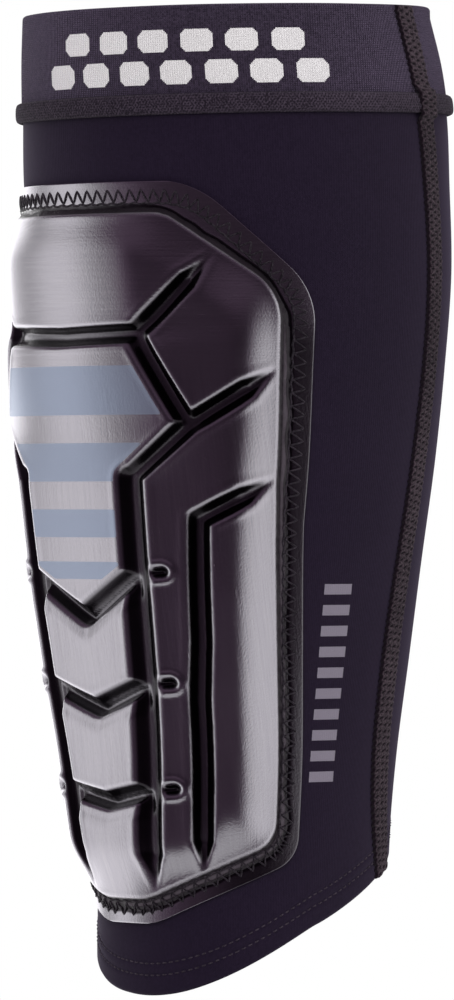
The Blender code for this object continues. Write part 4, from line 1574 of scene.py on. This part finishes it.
@dataclass
class ShinPad:
    """The moulded pad and the thread that sews its flange to the sleeve."""

    leg: Leg
    relief: PadRelief
    columns: int = 256
    rows: int = 366
    under_step: int = 8
    chart_width: float = 0.170
    chart_height: float = 0.220
    fill: float = 0.9
    zigzag_pitch: float = 0.0038
    zigzag_near: float = 0.0024
    zigzag_far: float = 0.0061
    lock_inset: float = 0.0064
    thread: float = 0.00026
    lock_thread: float = 0.00034
    per_stroke: int = 7           # points of the zigzag to a stroke
    per_loop: int = 8             # points of the lock thread to a stitch
    hop: float = 0.00026
    edge_rows: tuple = (0.0, 0.00012, 0.00032)
    trims: tuple = (0.0016, 0.0042)

    def edge_width(self, down: Array) -> Array:
        """Return the flange's half width at distances down."""
        line = self.relief.flange_line
        on_side = (line[:, 1] > 1e-7) & (line[:, 1] < PAD_HEIGHT - 1e-7)
        first, last = np.flatnonzero(on_side)[[0, -1]]
        line = line[first - 1 : last + 2]
        return np.interp(down, line[:, 1], line[:, 0])

    def shell(self) -> Shell:
        """Build the pad: a face grid scaled to the flange row by row, and an underside.

        A face point lies at a share of its row's half width. The underside uses every few
        columns of the same grid, and many-sided faces close its two ends.
        """
        edge = np.array(self.edge_rows)
        down = np.linspace(0.0006, PAD_HEIGHT - 0.0006, self.rows)
        down = np.concatenate([edge, down, PAD_HEIGHT - edge[::-1]])
        share = np.linspace(-1, 1, self.columns + 1)
        trim = np.array(self.trims)
        share = np.concatenate([[-1], -1 + trim, share[1:-1], 1 - trim[::-1], [1]])
        width = self.edge_width(down)
        points = np.stack(np.broadcast_arrays(share * width[:, None], down[:, None]), axis=-1)
        near = np.minimum((1 - np.abs(share)) * width[:, None], down[:, None])
        near = np.minimum(near, PAD_HEIGHT - down[:, None])
        rounding = 0.5 + 0.5 * np.sqrt(1 - (1 - np.clip(near / self.relief.edge_round, 0, 1)) ** 2)
        angle, z = self.relief.place(points)
        height = self.relief.read("height", points) * rounding
        face = self.leg.surface(angle, z, CLEARANCE + height)
        count = len(share)
        picks = np.concatenate([[0], np.arange(3, count - 3, self.under_step), [count - 1]])
        under = self.leg.surface(angle[:, picks], z[:, picks], CLEARANCE)
        return self.closed(face, under, picks, points)

    def closed(self, face: Array, under: Array, picks: Array, points: Array) -> Shell:
        """Return the face and the underside joined into one closed shell."""
        rows, columns = face.shape[:2]
        start = rows * columns
        few = len(picks)
        faces = grid_quads(rows, columns, False, False).tolist()
        faces += (start + grid_quads(rows, few, False, False)).tolist()
        row = np.arange(rows - 1)
        for column, low in ((0, 0), (columns - 1, few - 1)):
            above, below = row * columns + column, start + row * few + low
            side = np.stack([above, below, below + few, above + columns], axis=1)
            faces += side.tolist()
        for here in (0, rows - 1):
            for k in range(few - 1):
                top = (here * columns + np.arange(picks[k], picks[k + 1] + 1)).tolist()
                foot = start + here * few + k
                faces.append(top + [foot + 1, foot])
        size = (self.chart_width, self.chart_height)
        flat_points = np.concatenate([points.reshape(-1, 2), points[:, picks].reshape(-1, 2)])
        chart = flat_points / size * (1, -1) + (0.5, 1.0)
        marks = {}
        for title in ("print", "shelf", "shaded_hollow", "floor_highlight"):
            upper = self.relief.read(title, points).ravel()
            empty = -1.0 if title == "print" else 0.0
            marks[title] = np.concatenate([upper, np.full(rows * few, empty)])
        both = np.concatenate([face.reshape(-1, 3), under.reshape(-1, 3)])
        return Shell(both, faces, chart, marks)

    def dress(self, effects: SharedEffects) -> bpy.types.Object:
        """Make the pad and its film."""
        scale = (self.chart_width, self.chart_height, 1.0)
        piece = self.shell().piece("moulded_pad", FilmFinish().build(effects, scale))
        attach(piece, "root")
        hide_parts("shin_pad")
        return piece

    def on_flange(self, points: Array, lift: Array) -> tuple[Array, Array]:
        """Return points over the pad's face, and the outward directions there."""
        angle, z = self.relief.place(points)
        height = self.relief.read("height", points)
        place = self.leg.surface(angle, z, CLEARANCE + height + lift)
        return place[None], self.leg.outward(angle, z)[None]

    def stitching(self) -> Shell:
        """Build the zigzag thread and the lock thread beside it.

        The zigzag goes to and fro between two insets, as a triangle wave with rounded
        ends, and rises over the flange between its needle holes.
        """
        length = self.relief.flange_length()
        stitches = round(length / self.zigzag_pitch)
        steps = 2 * stitches * self.per_stroke
        beat = np.arange(steps) / self.per_stroke
        wave = np.abs((beat % 2) - 1)
        wave = 0.5 - 0.5 * np.cos(math.pi * wave) * 0.25 - (0.5 - wave) * 0.75
        inset = self.zigzag_near + (self.zigzag_far - self.zigzag_near) * wave
        spread = beat / 2 * length / stitches
        points = self.relief.flange_loop(inset, spread)
        lift = self.hop * np.sin(math.pi * (beat % 1)) - 0.00006
        paths, outward = self.on_flange(points, lift)
        zigzag = swept_threads(paths, outward, np.full(steps, self.thread), 6, True)
        count = stitches * self.per_loop
        beat = np.arange(count) / self.per_loop
        inset = self.lock_inset + 0.00016 * np.sin(2 * math.pi * beat)
        points = self.relief.flange_loop(inset, beat * length / stitches)
        paths, outward = self.on_flange(points, 0.0001 * np.cos(2 * math.pi * beat))
        lock = swept_threads(paths, outward, np.full(count, self.lock_thread), 6, True)
        return joined([zigzag, lock])

    def dress_stitching(self, effects: SharedEffects) -> bpy.types.Object:
        """Make the stitching and its thread."""
        piece = self.stitching().piece("flange_stitching", STITCH_FINISH.build(effects, False))
        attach(piece, "root")
        return piece


# The studio


def facing(azimuth: float, elevation: float = 0.0) -> Vector:
    """Return the direction at degrees round from the shin towards +X, and degrees up."""
    a, e = math.radians(azimuth), math.radians(elevation)
    return Vector((math.sin(a) * math.cos(e), -math.cos(a) * math.cos(e), math.sin(e)))


@dataclass(frozen=True)
class SoftPanel:
    """A soft white light panel that faces the object and stays out of its gloss."""

    name: str
    azimuth: float
    elevation: float
    distance: float
    width: float
    height: float
    radiance: float

    def hang(self) -> bpy.types.Object:
        """Hang the panel: its power is pi times its area times its radiance."""
        light = bpy.data.lights.new(self.name, "AREA")
        light.shape = "RECTANGLE"
        light.size = self.width
        light.size_y = self.height
        light.energy = math.pi * self.width * self.height * self.radiance
        body = bpy.data.objects.new(self.name, light)
        way = facing(self.azimuth, self.elevation)
        body.location = way * self.distance
        body.rotation_mode = "QUATERNION"
        body.rotation_quaternion = way.to_track_quat("Z", "Y")
        body.visible_camera = False
        body.visible_glossy = False
        bpy.context.scene.collection.objects.link(body)
        return body


@dataclass
class Studio:
    """Plain soft studio light, a pale floor and the photograph's camera."""

    azimuth: float = 53.0
    distance: float = 2.2
    frame_height: float = 0.292     # what the picture's height shows at the leg's axis
    aside: float = -0.00263
    above: float = 0.0011
    sensor: float = 36.0
    floor_z: float = -0.25
    floor_half: float = 0.8
    panels: tuple = (
        SoftPanel("fill_front", 53.0, 25.0, 2.0, 1.8, 1.8, 3.2),
        SoftPanel("fill_left", -60.0, 20.0, 2.0, 1.6, 1.6, 1.2),
        SoftPanel("fill_right", 150.0, 20.0, 2.0, 1.6, 1.6, 1.6),
        SoftPanel("fill_back", -130.0, 20.0, 2.0, 1.6, 1.6, 1.6),
        SoftPanel("fill_top", 0.0, 88.0, 1.8, 1.6, 1.6, 1.4),
    )
    # What the gloss sees round the object: degrees from the shin, and radiance.
    level_belt: tuple = (
        (-180, 0.35), (-150, 0.20), (-136, 0.60), (-126, 1.70), (-91, 1.90), (-83, 0.85),
        (-75, 0.36), (-68, 0.42), (-60, 0.94), (-46, 1.02), (-38, 0.52), (-28, 0.26),
        (-18, 0.15), (-5, 0.08), (10, 0.042), (60, 0.027), (100, 0.026), (111, 0.16),
        (122, 0.60), (133, 0.82), (168, 0.82), (180, 0.35),
    )
    low_belt: tuple = (
        (-180, 0.20), (-130, 0.30), (-115, 1.10), (-95, 1.75), (-84, 1.60), (-68, 1.10),
        (-46, 1.05), (-36, 0.60), (-26, 0.32), (-12, 0.16), (10, 0.05), (98, 0.05),
        (106, 0.24), (117, 0.84), (150, 0.98), (180, 0.20),
    )
    dusk: Colour = (1.0, 0.65, 0.99, 1)     # the tone of the darkest parts
    dusk_steps: tuple[float, float] = (0.03, 0.35)
    bottom: float = 0.55
    ceiling: float = 0.09
    low_steps: tuple[float, float] = (-52.0, -38.0)
    level_steps: tuple[float, float] = (-18.0, -8.0)
    top_steps: tuple[float, float] = (14.0, 30.0)

    @staticmethod
    def belt(w: Wiring, share: Socket, stops: tuple) -> Socket:
        """Return a belt's radiance at a share of the way round, from its stops."""
        ramp = w.node("ShaderNodeValToRGB")
        w.feed(ramp.inputs["Fac"], share)
        elements = ramp.color_ramp.elements
        peak = max(value for _, value in stops)
        for k, (degrees, value) in enumerate(stops):
            place = degrees / 360 + 0.5
            if k < 2:
                elements[k].position = place
            else:
                elements.new(place)
            elements[k].color = (*[value / peak] * 3, 1)
        return w.times(ramp.outputs["Color"], peak)

    def light(self) -> None:
        """Hang the fills, and set a world of soft belts that is white to the camera."""
        for panel in self.panels:
            panel.hang()
        world = bpy.data.worlds.new("studio")
        world.use_nodes = True
        w = Wiring(world.node_tree)
        background = world.node_tree.nodes["Background"]
        x, y, z = w.split(w.node("ShaderNodeTexCoord").outputs["Generated"])
        turn = w.math("ARCTAN2", x, w.times(y, -1.0))
        share = w.total(w.times(turn, 1 / (2 * math.pi)), 0.5)
        rise = w.times(w.math("ARCSINE", z), 180 / math.pi)
        glow = self.bottom
        for value, steps in (
            (self.belt(w, share, self.low_belt), self.low_steps),
            (self.belt(w, share, self.level_belt), self.level_steps),
            (self.ceiling, self.top_steps),
        ):
            glow = w.span(w.step(rise, *steps), glow, value)
        seen = w.node("ShaderNodeLightPath").outputs["Is Camera Ray"]
        w.feed(background.inputs["Strength"], w.span(seen, glow, 1.0))
        lit = w.math("MAXIMUM", seen, w.step(glow, *self.dusk_steps))
        w.feed(background.inputs["Color"], w.blend(lit, self.dusk, (1, 1, 1, 1)))
        bpy.context.scene.world = world
        bpy.context.scene.view_settings.view_transform = "Standard"

    def floor(self) -> bpy.types.Object:
        """Lay the floor: a pale square below the object."""
        half = self.floor_half
        corners = [(-half, -half), (half, -half), (half, half), (-half, half)]
        mesh = bpy.data.meshes.new("floor")
        mesh.from_pydata([(x, y, self.floor_z) for x, y in corners], [], [(0, 1, 2, 3)])
        material, w, shader = new_material("pale_floor")
        tone = w.noise(w.place(), 3.0)
        pale = w.blend(tone, (0.86, 0.86, 0.86, 1), (0.9, 0.9, 0.9, 1))
        w.feed(shader.inputs["Base Color"], pale)
        shader.inputs["Roughness"].default_value = 0.9
        mesh.materials.append(material)
        body = bpy.data.objects.new("floor", mesh)
        bpy.context.scene.collection.objects.link(body)
        body.visible_glossy = False
        body.visible_shadow = False
        return body

    def camera(self) -> bpy.types.Object:
        """Set up the camera at the photograph's angle."""
        data = bpy.data.cameras.new("camera")
        data.sensor_width = self.sensor
        data.lens = self.sensor * self.distance / self.frame_height
        body = bpy.data.objects.new("camera", data)
        back, right = facing(self.azimuth), facing(self.azimuth + 90)
        body.location = back * self.distance + right * self.aside + Vector((0, 0, self.above))
        body.rotation_mode = "QUATERNION"
        body.rotation_quaternion = back.to_track_quat("Z", "Y")
        bpy.context.scene.collection.objects.link(body)
        bpy.context.scene.camera = body
        return body


def report(piece: bpy.types.Object) -> None:
    """Log a finished piece with its number of faces."""
    log.info("%s: %d faces", piece.name, len(piece.data.polygons))


def main() -> None:
    """Build the studio and every piece, in order."""
    logging.basicConfig(level=logging.INFO, format="%(name)s %(message)s")
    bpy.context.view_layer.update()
    studio = Studio()
    studio.light()
    studio.floor()
    studio.camera()
    effects = SharedEffects()
    leg = Leg()
    sleeve = Sleeve(leg)
    knit = sleeve.dress(effects)
    hem = sleeve.dress_stitches(effects)
    cuff = Cuff(leg)
    elastic = cuff.dress(effects)
    band = cuff.dress_band(effects)
    seam = ClosingSeam(leg, cuff).dress(effects)
    pad = ShinPad(leg, PadRelief(leg))
    moulded = pad.dress(effects)
    sewing = pad.dress_stitching(effects)
    for piece in (knit, hem, elastic, band, seam, moulded, sewing):
        report(piece)


if __name__ == "__main__":
    main()
